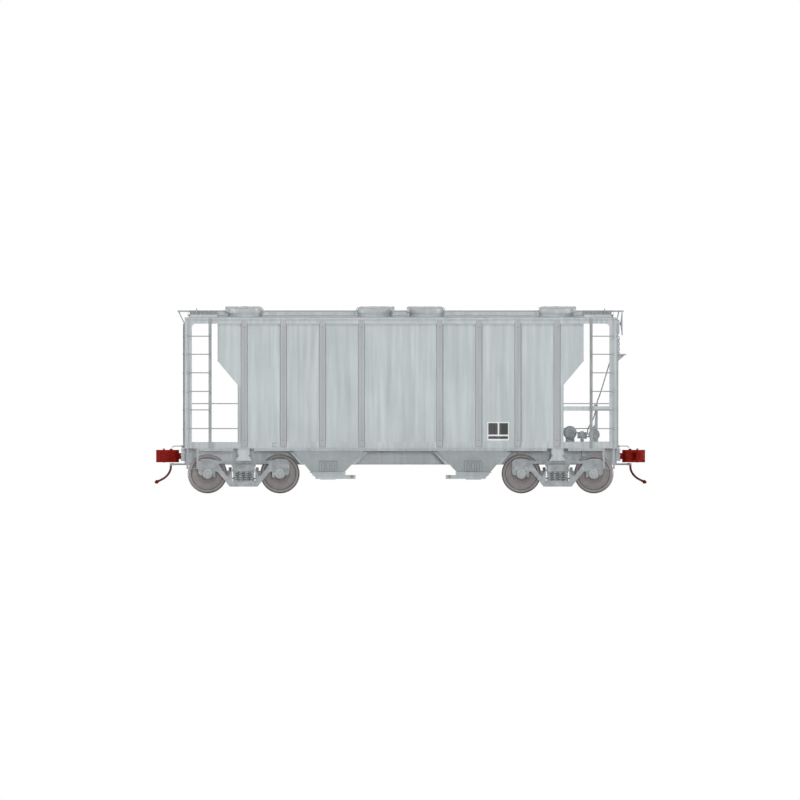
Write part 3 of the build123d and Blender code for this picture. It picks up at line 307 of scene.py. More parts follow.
@dataclass(frozen=True)
class SandCastIron(Finish):
    """Iron or steel poured in sand: a grainy skin, matt, with primer or rust in the hollows."""

    colour: str
    shade: str
    # The sand leaves marks about 1 mm wide, which are drawn coarser so that they show
    grain_mm: float = 7.0
    bloom_mm: float = 60.0
    bloom_range: Pair = (0.35, 0.7)
    roughness: float = 0.66
    # The bloom's noise where the skin is smoothest and roughest, and what each adds to the roughness
    gloss_range: Pair = (0.3, 0.75)
    gloss_spread: Pair = (-0.1, 0.14)
    depth: float = 0.25
    relief_mm: float = 2.0
    sheen: float = 0.5

    def draw(self, tree: Tree, place: Socket) -> dict[str, Value]:
        """Draw the casting with its sand grain and its cloudy colour.

        Args:
            tree: Node tree of the material.
            place: Socket of the object's own coordinates.

        Returns:
            What the principled shader's sockets get.
        """
        clouds = {"Vector": place, "Scale": scale(self.bloom_mm), "Detail": 5.0, "Roughness": 0.62}
        bloom = add_node(tree, "TexNoise", clouds)
        low, high = self.bloom_range
        amount = add_node(tree, "MapRange", {"Value": bloom, "From Min": low, "From Max": high})
        tones = {0: amount, 6: linear(self.colour), 7: linear(self.shade)}
        colour = add_node(tree, "Mix", tones, data_type="RGBA").outputs[2]
        grain = add_node(tree, "TexVoronoi", {"Vector": place, "Scale": scale(self.grain_mm)})
        bumps = {"Strength": self.depth, "Distance": self.relief_mm * MM, "Height": grain}
        relief = add_node(tree, "Bump", bumps)
        low, high = self.gloss_range
        smoothest, roughest = (self.roughness + spread for spread in self.gloss_spread)
        limits = {"From Min": low, "From Max": high, "To Min": smoothest, "To Max": roughest}
        gloss = add_node(tree, "MapRange", {"Value": bloom, **limits})
        return {"Base Color": colour, "Roughness": gloss, "Normal": relief, "Specular IOR Level": self.sheen}


@dataclass(frozen=True)
class ForgedWheelSteel(Finish):
    """Forged railway wheel: oxidised plate and hub, with a smoother tread and flange that the rail rubs."""

    axle_x: float
    axle_z: float
    oxide: str = "#A19D9D"
    shade: str = "#827D7A"
    cloud_mm: float = 1000 / 9
    tread: str = "#989290"
    tread_from: float = 0.446
    tread_edge: float = 0.004
    # The bearing caps at both ends of the axle are painted with the truck
    cap: str = "#B6BBBD"
    cap_from: float = 1.12
    # Two dark rings on each cap are painted shade at its steps, which the even light leaves flat
    cap_shade_line: str = "#8B9194"
    cap_shade_radii: Pair = (0.064, 0.109)
    cap_shade_line_half: float = 0.0045
    # Lathe rings around the axle, at the ring width of a roughing cut
    ring_mm: float = 14.0
    ring_share: float = 0.25
    ring_strength: float = 0.16
    relief_mm: float = 3.0

    def draw(self, tree: Tree, place: Socket) -> dict[str, Value]:
        """Draw the wheel with its turned rings, its oxide, its rubbed tread, its painted caps and their
        painted shade lines.

        Args:
            tree: Node tree of the material.
            place: Socket of the object's own coordinates.

        Returns:
            What the principled shader's sockets get.
        """
        axle = (self.axle_x, 0.0, self.axle_z)
        centred = add_node(tree, "VectorMath", {0: place, 1: axle}, operation="SUBTRACT")
        flat = add_node(tree, "VectorMath", {0: centred, 1: (1.0, 0.0, 1.0)}, operation="MULTIPLY")
        radius = add_node(tree, "VectorMath", {0: flat}, operation="LENGTH").outputs["Value"]
        clouds = {"Vector": place, "Scale": scale(self.cloud_mm), "Detail": 5.0, "Roughness": 0.6}
        cloud = add_node(tree, "TexNoise", clouds)
        low, high = about(self.tread_from, self.tread_edge)
        worn = add_node(tree, "MapRange", {"Value": radius, "From Min": low, "From Max": high})
        tones = {0: cloud, 6: linear(self.oxide), 7: linear(self.shade)}
        rust = add_node(tree, "Mix", tones, data_type="RGBA").outputs[2]
        steel = add_node(tree, "Mix", {0: worn, 6: rust, 7: linear(self.tread)}, data_type="RGBA").outputs[2]
        wide = add_node(tree, "SeparateXYZ", {0: place}).outputs["Y"]
        away = add_node(tree, "Math", {0: wide}, operation="ABSOLUTE")
        capped = add_node(tree, "Math", {0: away, 1: self.cap_from}, operation="GREATER_THAN")
        inner, outer = (
            add_node(tree, "Math", {0: radius, 1: reach, 2: self.cap_shade_line_half}, operation="COMPARE")
            for reach in self.cap_shade_radii
        )
        shade_lines = add_node(tree, "Math", {0: inner, 1: outer}, operation="MAXIMUM")
        tones = {0: shade_lines, 6: linear(self.cap), 7: linear(self.cap_shade_line)}
        cap = add_node(tree, "Mix", tones, data_type="RGBA").outputs[2]
        colour = add_node(tree, "Mix", {0: capped, 6: steel, 7: cap}, data_type="RGBA").outputs[2]
        bare = add_node(tree, "MapRange", {"Value": capped, "To Min": 0.25, "To Max": 0.0})
        phase = add_node(tree, "Math", {0: radius, 1: math.tau * scale(self.ring_mm)}, operation="MULTIPLY")
        wave = add_node(tree, "Math", {0: phase}, operation="SINE")
        skin = add_node(tree, "Math", {0: wave, 1: self.ring_share, 2: cloud}, operation="MULTIPLY_ADD")
        bumps = {"Strength": self.ring_strength, "Distance": self.relief_mm * MM, "Height": skin}
        relief = add_node(tree, "Bump", bumps)
        gloss = add_node(tree, "MapRange", {"Value": worn, "To Min": 0.6, "To Max": 0.5})
        return {"Base Color": colour, "Roughness": gloss, "Metallic": bare, "Normal": relief}


@dataclass(frozen=True)
class WalkGrating(Finish):
    """Galvanised grating of pressed bars: rows of slots, painted dark as the shade seen through them, that
    look grey at a distance.
    """

    colour: str = "#A6AAAC"
    # Painted shade: the slots are not cut through, and get the dark of what is seen through them
    slot_shade: str = "#63676A"
    spangle: str = "#999D9F"
    spangle_mm: float = 18.0
    # Pitch of the slots and the share of it that is bar, along and across the car
    along_mm: float = 100.0
    along_bar: float = 0.16
    across_mm: float = 30.0
    across_bar: float = 0.42
    upward_from: float = 0.8
    depth_mm: float = 4.0

    def draw(self, tree: Tree, place: Socket) -> dict[str, Value]:
        """Draw the grating with its rows of slots, in painted shade, on the upper faces only.

        Args:
            tree: Node tree of the material.
            place: Socket of the object's own coordinates.

        Returns:
            What the principled shader's sockets get.
        """
        spot = add_node(tree, "SeparateXYZ", {0: place})
        rise = add_node(tree, "SeparateXYZ", {0: place.node.outputs["Normal"]}).outputs["Z"]
        upward = add_node(tree, "Math", {0: rise, 1: self.upward_from}, operation="GREATER_THAN")
        rows = []
        for axis, pitch, bar in (
            ("X", self.along_mm, self.along_bar),
            ("Y", self.across_mm, self.across_bar),
        ):
            turns = add_node(tree, "Math", {0: spot.outputs[axis], 1: pitch * MM}, operation="DIVIDE")
            part = add_node(tree, "Math", {0: turns}, operation="FRACT")
            rows.append(add_node(tree, "Math", {0: part, 1: bar}, operation="GREATER_THAN"))
        cells = add_node(tree, "Math", {0: rows[0], 1: rows[1]}, operation="MULTIPLY")
        slots = add_node(tree, "Math", {0: cells, 1: upward}, operation="MULTIPLY")
        spangle = add_node(tree, "TexVoronoi", {"Vector": place, "Scale": scale(self.spangle_mm)})
        tones = {0: spangle, 6: linear(self.colour), 7: linear(self.spangle)}
        zinc = add_node(tree, "Mix", tones, data_type="RGBA").outputs[2]
        colour = add_node(tree, "Mix", {0: slots, 6: zinc, 7: linear(self.slot_shade)}, data_type="RGBA").outputs[2]
        raised = add_node(tree, "Math", {0: 1.0, 1: slots}, operation="SUBTRACT")
        bumps = {"Strength": 0.5, "Distance": self.depth_mm * MM, "Height": raised}
        relief = add_node(tree, "Bump", bumps)
        return {"Base Color": colour, "Roughness": 0.55, "Metallic": 0.1, "Normal": relief}


@dataclass(frozen=True)
class WrappedRubber(Finish):
    """Air brake hose of wrapped fabric and rubber: matt, with the faint rings of its wrapping cloth."""

    colour: str = "#691916"
    shade: str = "#4E1412"
    # A ring of the cloth repeats every 0.63 of this, which is about 7.5 mm
    wrap_mm: float = 12.0
    relief_mm: float = 2.0

    def draw(self, tree: Tree, place: Socket) -> dict[str, Value]:
        """Draw the rubber with its wrapping rings.

        Args:
            tree: Node tree of the material.
            place: Socket of the object's own coordinates.

        Returns:
            What the principled shader's sockets get.
        """
        cloth = add_node(
            tree,
            "TexWave",
            {"Vector": place, "Scale": 0.5 * scale(self.wrap_mm), "Distortion": 1.5, "Detail": 2.0},
            wave_type="BANDS",
            bands_direction="Z",
        ).outputs["Fac"]
        tones = {0: cloth, 6: linear(self.colour), 7: linear(self.shade)}
        colour = add_node(tree, "Mix", tones, data_type="RGBA").outputs[2]
        bumps = {"Strength": 0.2, "Distance": self.relief_mm * MM, "Height": cloth}
        relief = add_node(tree, "Bump", bumps)
        return {"Base Color": colour, "Roughness": 0.7, "Normal": relief}


class Coat(Enum):
    """Finishes that the car's pieces share."""

    BODY = PaintedSteel("sprayed_enamel_body", "#C0C8CA", "#A9B0B2")
    # The sides' finish carries painted shade on the posts
    SIDE = PostedSide("sprayed_enamel_side_post_shade", "#C0C8CA", "#A9B0B2")
    # A darker grey that is painted shade: it outlines post welds, bolts and small fittings as their shading
    # would
    SHADE_GREY = PaintedSteel("sprayed_enamel_shade_grey", "#A3A8AB", "#8F9497", streak_mm=60.0)
    FRAMING = PaintedSteel("sprayed_enamel_framing", "#C2C7CA", "#A8AEB1", streak_mm=60.0)
    # The plug weld marks and chord seams are real, and their darker grey is painted shade
    SEAM_SHADE = PaintedSteel("sprayed_enamel_seam_shade", "#8F9497", "#80868A", streak_mm=60.0)
    ROOF = PaintedSteel("sprayed_enamel_roof", "#BCC2C4", "#A6ACAE", patch_mm=900.0)
    HATCH = PaintedSteel("sprayed_enamel_hatch", "#BABFC1", "#A2A7A9", patch_mm=500.0, roughness=0.42)
    LADDER = PaintedSteel("sprayed_enamel_ladder", "#A6ABAD", "#8F9598", streak_mm=25.0)
    TRUCK = SandCastIron("sand_cast_truck_steel", "#BFC3C6", "#9B9FA1", grain_mm=9.0, bloom_mm=180.0)
    BRAKE = SandCastIron("painted_brake_iron", "#B4B8BA", "#93989B", grain_mm=6.0, bloom_mm=90.0)
    # The springs are painted a paler grey than the truck as painted light, to make up for the shade they
    # stand in
    SPRING = SandCastIron("forged_spring_steel_painted_light", "#C6CBCD", "#A3A8AA", grain_mm=5.0, bloom_mm=30.0)
    IRON = SandCastIron("bare_gate_iron", "#A19C99", "#7D7874", grain_mm=5.0, bloom_mm=40.0)
    COUPLER = SandCastIron(
        "primed_coupler_steel", "#96150A", "#6A0E05", grain_mm=8.0, bloom_mm=55.0, sheen=0.15
    )
    FITTING = SandCastIron(
        "primed_hose_fitting", "#86120A", "#5A0D06", grain_mm=4.0, bloom_mm=25.0, sheen=0.15
    )
    WHITE = PaintedSteel("screened_white", "#EDEFEF", "#D9DCDC", patch_mm=300.0)
    BLACK = PaintedSteel("screened_black", "#1A1B1D", "#26282A", patch_mm=300.0, dust_amount=0.08)
    WALK = WalkGrating("galvanised_walk_grating")
    HOSE = WrappedRubber("wrapped_hose_rubber")


class Heading(Enum):
    """Axis that an outline is carried along, by its number."""

    ALONG = 0
    ACROSS = 1


class Form:
    """Mesh that is put together from blocks, bars, bolt heads and prisms, with all sizes in metres."""

    def __init__(self) -> None:
        """Start empty."""
        self._work = bmesh.new()

    def _skin(self, rings: Sequence[Sequence[Vector | Point]]) -> None:
        """Join rings of equally many points and close both ends.

        Args:
            rings: Points of each ring.
        """
        rows = [[self._work.verts.new(point) for point in points] for points in rings]
        for first, second in zip(rows, rows[1:]):
            for n in range(len(first)):
                m = (n + 1) % len(first)
                self._work.faces.new((first[n], first[m], second[m], second[n]))
        self._work.faces.new(rows[0][::-1])
        self._work.faces.new(rows[-1])

    def prism(
        self, outline: Sequence[Pair], reach: Sequence[float], heading: Heading = Heading.ALONG
    ) -> None:
        """Carry an outline along one axis, with its corners in the other two in alphabetical order."""
        cut = heading.value
        self._skin([[(*corner[:cut], w, *corner[cut:]) for corner in outline] for w in sorted(reach)])

    def box(self, x: Sequence[float], y: Sequence[float], z: Sequence[float]) -> None:
        """Add a block that fills these ranges along the car, across it and upwards."""
        (left, right), (low, high) = sorted(y), sorted(z)
        self.prism([(left, low), (right, low), (right, high), (left, high)], x)

    def tube(self, points: Sequence[Point | Vector], radius: float, sides: int = 8) -> None:
        """Add a round bar or pipe that follows points, mitred at each bend and closed at both ends.

        Args:
            points: Its line.
            radius: Half its thickness.
            sides: Number of flats around it.
        """
        line = [Vector(p) for p in points]
        heading = (line[1] - line[0]).normalized()
        across = heading.orthogonal().normalized()
        rings = []
        for i, point in enumerate(line):
            before = (point - line[i - 1]).normalized() if i else heading
            after = (line[i + 1] - point).normalized() if i + 1 < len(line) else before
            middle = (before + after).normalized()
            across = (heading.rotation_difference(middle) @ across).normalized()
            heading = middle
            other = heading.cross(across)
            bend = (before - after).normalized()
            stretch = 1 / max(SHARPEST, middle.dot(before)) - 1
            circle = []
            for n in range(sides):
                angle = math.tau * n / sides
                offset = across * math.cos(angle) + other * math.sin(angle)
                circle.append(point + (offset + bend * offset.dot(bend) * stretch) * radius)
            rings.append(circle)
        self._skin(rings)

    def bolt(self, seat: Point, normal: Point, radius: float, height: float) -> None:
        """Add a hexagonal bolt head with a chamfered top.

        Args:
            seat: Middle of the face that it sits on.
            normal: Direction away from that face.
            radius: Half the head's width over corners.
            height: Height of the head.
        """
        up = Vector(normal).normalized()
        across = up.orthogonal().normalized()
        other = up.cross(across)
        spokes = [across * math.cos(n * math.pi / 3) + other * math.sin(n * math.pi / 3) for n in range(6)]
        below, top = CHAMFER
        levels = ((-SEAT, radius), (height * below, radius), (height, radius * top))
        self._skin([[Vector(seat) + up * lift + spoke * reach for spoke in spokes] for lift, reach in levels])

    def place(self, part: "Form", spot: Matrix) -> None:
        """Add another form, which is used up.

        Args:
            part: Form in its own axes.
            spot: Matrix from the part's axes to this form's.
        """
        part._work.transform(spot)
        holder = bpy.data.meshes.new("part")
        part._work.to_mesh(holder)
        part._work.free()
        self._work.from_mesh(holder)
        bpy.data.meshes.remove(holder)

    def finish(self, name: str, smooth: bool) -> bpy.types.Mesh:
        """Turn the form into a mesh.

        Args:
            name: Name of the mesh.
            smooth: True to shade its faces smooth.

        Returns:
            The mesh, with its faces looking outwards.
        """
        mesh = bpy.data.meshes.new(name)
        bmesh.ops.recalc_face_normals(self._work, faces=self._work.faces)
        for face in self._work.faces:
            face.smooth = smooth
        self._work.to_mesh(mesh)
        self._work.free()
        return mesh


def bent(points: Sequence[Point], cut: float, steps: int = 5) -> list[Vector]:
    """Round the corners of a line, as a bent bar or pipe has them.

    Args:
        points: The line's corners in metres.
        cut: How far before and after a corner its bend begins and ends.
        steps: Number of chords in a bend.

    Returns:
        The line with its bends.
    """
    line = [Vector(p) for p in points]
    path = [line[0]]
    for before, corner, after in zip(line, line[1:], line[2:]):
        reach = min(cut, MOST_BENT * (corner - before).length, MOST_BENT * (after - corner).length)
        start = corner + (before - corner).normalized() * reach
        finish = corner + (after - corner).normalized() * reach
        for n in range(steps + 1):
            t = n / steps
            path.append(start.lerp(corner, t).lerp(corner.lerp(finish, t), t))
    return [*path, line[-1]]


def rounded(half_u: float, half_v: float, cut: float) -> list[Vector]:
    """Give a closed rectangle with rounded corners, which starts in the middle of its lower edge.

    Args:
        half_u: Half its width in metres.
        half_v: Half its height in metres.
        cut: How far from each corner its bend begins.

    Returns:
        Its line in the plane of the first two axes.
    """
    corners = ((0, -1), (1, -1), (1, 1), (-1, 1), (-1, -1), (0, -1))
    return bent([(u * half_u, v * half_v, 0.0) for u, v in corners], cut)


class Shop:
    """Makes materials and pieces and fastens the pieces to the car's bodies."""

    def __init__(self) -> None:
        """Start with no material made."""
        self._made: dict[str, bpy.types.Material] = {}

    def material(self, coat: Coat | Finish) -> bpy.types.Material:
        """Give a finish's material, made on first use.

        Args:
            coat: Shared coat, or a finish of one piece.

        Returns:
            The material.
        """
        finish = coat.value if isinstance(coat, Coat) else coat
        if finish.name not in self._made:
            self._made[finish.name] = finish.build()
        return self._made[finish.name]

    def dress(self, node: str, coat: Coat | Finish) -> None:
        """Give a CAD node its finish.

        Args:
            node: Name of the CAD node.
            coat: What it is coated with.
        """
        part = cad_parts[node]
        if not part.material_slots:
            part.data.materials.append(None)
        for slot in part.material_slots:
            slot.link = "OBJECT"
            slot.material = self.material(coat)

    def piece(
        self,
        name: str,
        shape: Callable[[Form], None],
        coat: Coat,
        slot: str = "body_paint",
        body: str = "car_body",
        smooth: bool = False,
    ) -> bpy.types.Object:
        """Make one mesh piece that rides on a body.

        Args:
            name: Name of the piece.
            shape: Fills the form that the piece is made of.
            coat: What it is coated with.
            slot: Not used.
            body: CAD body that it moves with.
            smooth: True to shade its faces smooth.

        Returns:
            The new object.
        """
        form = Form()
        shape(form)
        made = stand(name, form.finish(name, smooth))
        made.data.materials.append(self.material(coat))
        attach(made, body)
        LOG.info("piece %s: %d faces on %s", name, len(made.data.polygons), body)
        return made


@dataclass
class Studio:
    """Camera, lamps, world and floor around the car."""

    mm_per_pixel: float = 24.5
    pixels: int = 800
    camera: Point = (-0.015, -30.0, 2.288)
    sight: float = 200.0
    ambient: float = 0.33
    floor_half: float = 60.0
    floor_paint: str = "#F4F4F2"
    # The camera sees the floor nearly white, while the car gets only the plain floor's light
    floor_lift: float = 0.46
    # Name, strength, heading and angular size of each lamp: a soft key from above, and a level lamp on
    # each side that reaches under the car, as a drawing is lit
    lamps: tuple[tuple[str, float, Point, float], ...] = (
        ("key", 0.60, (0.30, 0.62, -0.72), 12.0),
        ("front", 1.15, (-0.04, 1.0, -0.03), 8.0),
        ("back", 1.15, (0.04, -1.0, -0.03), 8.0),
        ("a_end", 1.40, (1.0, 0.0, -0.03), 8.0),
        ("b_end", 1.40, (-1.0, 0.0, -0.03), 8.0),
    )

    def build(self) -> None:
        """Make the camera first, then the world, the lamps and the floor."""
        self._look()
        self._surround()
        self._light()
        self._lay_floor()
        bpy.context.scene.view_settings.view_transform = "Standard"

    def _look(self) -> None:
        """Look square at the side, as the drawing does."""
        data = bpy.data.cameras.new("camera")
        data.type = "ORTHO"
        data.ortho_scale = self.mm_per_pixel * MM * self.pixels
        data.clip_end = self.sight
        camera = stand("camera", data)
        camera.location = self.camera
        camera.rotation_euler = (math.pi / 2, 0.0, 0.0)
        bpy.context.scene.camera = camera

    def _surround(self) -> None:
        """Show white to the camera and in reflections, and give a plain grey light to the rest."""
        world = bpy.data.worlds.new("world")
        tree = empty_tree(world)
        rays = add_node(tree, "LightPath").outputs
        seen = rays["Is Camera Ray"]
        for name in ("Is Glossy Ray", "Is Transmission Ray"):
            seen = add_node(tree, "Math", {0: seen, 1: rays[name]}, operation="MAXIMUM").outputs[0]
        strength = add_node(tree, "MapRange", {"Value": seen, "To Min": self.ambient, "To Max": 1.0})
        sky = add_node(tree, "Background", {"Color": (1, 1, 1, 1), "Strength": strength})
        add_node(tree, "OutputWorld", {"Surface": sky})
        bpy.context.scene.world = world

    def _light(self) -> None:
        """Hang the lamps."""
        for name, strength, heading, spread in self.lamps:
            data = bpy.data.lights.new(name, "SUN")
            data.energy = strength
            data.angle = math.radians(spread)
            stand(name, data).rotation_euler = Vector(heading).to_track_quat("-Z", "Y").to_euler()

    def _lay_floor(self) -> None:
        """Lay a pale floor that keeps the car's shadow and shows white elsewhere."""
        ways = ((-1, -1), (1, -1), (1, 1), (-1, 1))
        corners = [(x * self.floor_half, y * self.floor_half, 0.0) for x, y in ways]
        mesh = bpy.data.meshes.new("floor")
        mesh.from_pydata(corners, [], [(0, 1, 2, 3)])
        material = bpy.data.materials.new("pale_floor")
        tree = empty_tree(material)
        paint = add_node(tree, "BsdfDiffuse", {"Color": linear(self.floor_paint)})
        seen = add_node(tree, "LightPath").outputs["Is Camera Ray"]
        lift = add_node(tree, "Math", {0: seen, 1: self.floor_lift}, operation="MULTIPLY")
        glow = add_node(tree, "Emission", {"Color": (1, 1, 1, 1), "Strength": lift})
        both = add_node(tree, "AddShader", {0: paint, 1: glow})
        add_node(tree, "OutputMaterial", {"Surface": both})
        mesh.materials.append(material)
        stand("floor", mesh)


@dataclass
class SubAssembly:
    """Part of the car that is made with the shop's tools."""

    shop: Shop


@dataclass
class AirHoses(SubAssembly):
    """The two air brake hoses that hang from the angle cocks to their glad hands."""

    diameter: float = 0.054
    length: float = 0.557
    route: tuple[Point, ...] = (
        (5.628, 0.300, 0.685),
        (5.628, 0.300, 0.605),
        (5.668, 0.270, 0.505),
        (5.735, 0.225, 0.420),
        (5.825, 0.165, 0.352),
        (5.925, 0.110, 0.305),
    )

    def build(self) -> None:
        """Hang one hose at each end of the car."""
        for end, letter in ENDS:
            data = bpy.data.curves.new(f"air_hose_line_{letter}", "CURVE")
            data.dimensions = "3D"
            data.bevel_depth = self.diameter / 2
            data.bevel_resolution = 4
            data.resolution_u = 10
            data.use_fill_caps = True
            route = turned(end, self.route)
            spline = data.splines.new("NURBS")
            spline.points.add(len(route) - 1)
            for knot, point in zip(spline.points, route):
                knot.co = (*point, 1.0)
            spline.order_u = 3
            spline.use_endpoint_u = True
            data.materials.append(self.shop.material(Coat.HOSE))
            hose = stand(f"air_hose_line_{letter}", data)
            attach(hose, "car_body")
            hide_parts(f"air_hose_{letter}")
            LOG.info("hose %s hung", letter)


@dataclass
class RunningGear(SubAssembly):
    """Places that whatever rides on the trucks shares."""

    truck_x: float = 3.845
    half_base: float = 0.889
    axle_z: float = 0.4825

    def axle_x(self, end: int, outward: int) -> float:
        """Give the place of an axle along the car, from the truck's end and the axle's side of it."""
        return end * (self.truck_x + outward * self.half_base)


@dataclass
class Paintwork(RunningGear):
    """Which finish each CAD node carries, by the words that its name starts with."""

    coats: tuple[tuple[Coat, tuple[str, ...]], ...] = (
        (Coat.SIDE, ("side_",)),
        (Coat.BODY, ("end_sheet", "ridge_sheets", "hopper")),
        (Coat.FRAMING, ("", "side_sills", "outlet_gate")),
        (Coat.TRUCK, ("side_frames", "truck_bolster")),
        (Coat.SPRING, ("truck_springs",)),
        (Coat.ROOF, ("roof",)),
        (Coat.HATCH, ("hatch_lid",)),
        (Coat.LADDER, ("ladders", "hand_brake_wheel", "grab_irons", "sill_steps")),
        (Coat.WALK, ("running_boards",)),
        (Coat.COUPLER, ("coupler", "knuckle")),
        (Coat.FITTING, ("glad_hand",)),
        (Coat.BRAKE, ("brake_beams", "brake_reservoir", "brake_cylinder", "control_valve", "train_pipe")),
    )

    def build(self) -> None:
        """Coat every node of the frame."""
        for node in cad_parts:
            self.shop.dress(node, self._choose(node))
        LOG.info("coated %d nodes", len(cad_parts))

    def _choose(self, node: str) -> Coat | Finish:
        """Choose a node's finish.

        Args:
            node: Name of the CAD node.

        Returns:
            A wheel steel centred on its own axle, or the coat with the longest start of the node's name.
        """
        if node.startswith("wheelset"):
            place = node.removeprefix("wheelset_")
            axle_x = self.axle_x(1 if place.startswith("b") else -1, -1 if place.endswith("inner") else 1)
            return ForgedWheelSteel(f"forged_wheel_steel_{place}", axle_x, self.axle_z)
        fitting = [
            (len(start), coat) for coat, starts in self.coats for start in starts if node.startswith(start)
        ]
        return max(fitting, key=lambda pair: pair[0])[1]


@dataclass
class CoilSprings(RunningGear):
    """Seven coil springs in two rows on each side frame, in place of the frame's plain cylinders."""

    frame_y: float = 1.003
    seat_z: float = 0.309
    cap_z: float = 0.534
    coil_radius: float = 0.049
    wire_radius: float = 0.0125
    turns: float = 6.0
    # The first and the last part of the wire lie flat on their seats
    flat_turns: float = 0.75
    steps: int = 18
    pitch: float = 0.137
    # How far in each row stands, and its number of springs
    rows: tuple[tuple[float, int], ...] = ((0.0, 4), (0.120, 3))

    def build(self) -> None:
        """Stand the springs of both trucks."""
        for end, letter in ENDS:
            shape = partial(self._group, end=end)
            body = f"truck_{letter}"
            springs = self.shop.piece(
                f"coil_springs_{letter}", shape, Coat.SPRING, "spring_steel", body, smooth=True
            )
            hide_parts(f"truck_springs_{letter}")

    def _group(self, form: Form, end: int) -> None:
        """Add one truck's springs.

        Args:
            form: Form that gets them.
            end: -1 at the A end and 1 at the B end.
        """
        for side, (inset, number) in product(SIDES, self.rows):
            for n in range(number):
                x = end * self.truck_x + (n - (number - 1) / 2) * self.pitch
                form.tube(self._wire(x, side * (self.frame_y - inset)), self.wire_radius)

    def _wire(self, x: float, y: float) -> list[Point]:
        """Wind one spring.

        Args:
            x: Place of its middle along the car.
            y: Place of its middle across the car.

        Returns:
            The line of its wire.
        """
        low = self.seat_z + self.wire_radius
        rise = self.cap_z - self.seat_z - 2 * self.wire_radius
        line = []
        for i in range(round(self.turns * self.steps) + 1):
            turn = i / self.steps
            share = (turn - self.flat_turns) / (self.turns - 2 * self.flat_turns)
            away_x = self.coil_radius * math.cos(math.tau * turn)
            away_y = self.coil_radius * math.sin(math.tau * turn)
            line.append((x + away_x, y + away_y, low + rise * min(1.0, max(0.0, share))))
        return line


@dataclass
class TruckFittings(RunningGear):
    """Bearing cap screws, pedestal keys and the brake rods and levers of both trucks."""

    cap_y: float = 1.192
    screws: int = 3
    screw_circle: float = 0.038
    screw_size: Pair = (0.016, 0.013)
    beam_x: float = 0.330
    rod_y: float = 0.05
    rod_z: float = 0.365
    rod_radius: float = 0.016
    lever_half: float = 0.038
    lever_y: Pair = (0.010, 0.028)
    lever_z: Pair = (0.340, 0.640)
    pin_y: Pair = (0.0, 0.075)
    pin_drop: float = 0.04
    pin_radius: float = 0.018
    pocket_y: float = 1.076
    # How far from the truck's middle and how high each bolt of a pedestal key or a column sits
    key_spots: tuple[Pair, ...] = ((0.733, 0.460), (1.063, 0.540), (0.256, 0.655), (0.256, 0.595))
    key_size: Pair = (0.014, 0.024)

    def build(self) -> None:
        """Fasten the screws to the wheelsets and the rods to the trucks."""
        for end, letter in ENDS:
            middle = end * self.truck_x
            truck = f"truck_{letter}"
            rigging = partial(self._rigging, middle=middle)
            self.shop.piece(f"truck_rigging_{letter}", rigging, Coat.BRAKE, "brake_iron", truck)
            keys = partial(self._keys, middle=middle)
            self.shop.piece(f"pedestal_keys_{letter}", keys, Coat.TRUCK, "truck_paint", truck)
            for outward, place in ((1, f"{letter}_outer"), (-1, f"{letter}_inner")):
                screws = partial(self._screws, axle_x=self.axle_x(end, outward))
                self.shop.piece(f"cap_screws_{place}", screws, Coat.SHADE_GREY, "wheel_steel", f"wheelset_{place}")

    def _screws(self, form: Form, axle_x: float) -> None:
        """Add the cap screws at both ends of an axle.

        Args:
            form: Form that gets them.
            axle_x: Place of the axle along the car.
        """
        for side, n in product(SIDES, range(self.screws)):
            angle = math.pi / 2 + math.tau * n / self.screws
            x = axle_x + self.screw_circle * math.cos(angle)
            z = self.axle_z + self.screw_circle * math.sin(angle)
            form.bolt((x, side * self.cap_y, z), (0, side, 0), *self.screw_size)

    def _rigging(self, form: Form, middle: float) -> None:
        """Add the bottom rod and the two levers between the brake beams.

        Args:
            form: Form that gets them.
            middle: Place of the truck along the car.
        """
        form.tube([(x, self.rod_y, self.rod_z) for x in about(middle, self.beam_x)], self.rod_radius)
        for x in about(middle, self.beam_x):
            form.box(about(x, self.lever_half), self.lever_y, self.lever_z)
            for z in (self.rod_z, self.lever_z[1] - self.pin_drop):
                form.tube([(x, y, z) for y in self.pin_y], self.pin_radius)

    def _keys(self, form: Form, middle: float) -> None:
        """Add the bolts of the keys under the bearings and of the frame's columns."""
        for side, hand, (reach, z) in product(SIDES, (-1, 1), self.key_spots):
            form.bolt((middle + hand * reach, side * self.pocket_y, z), (0, side, 0), *self.key_size)


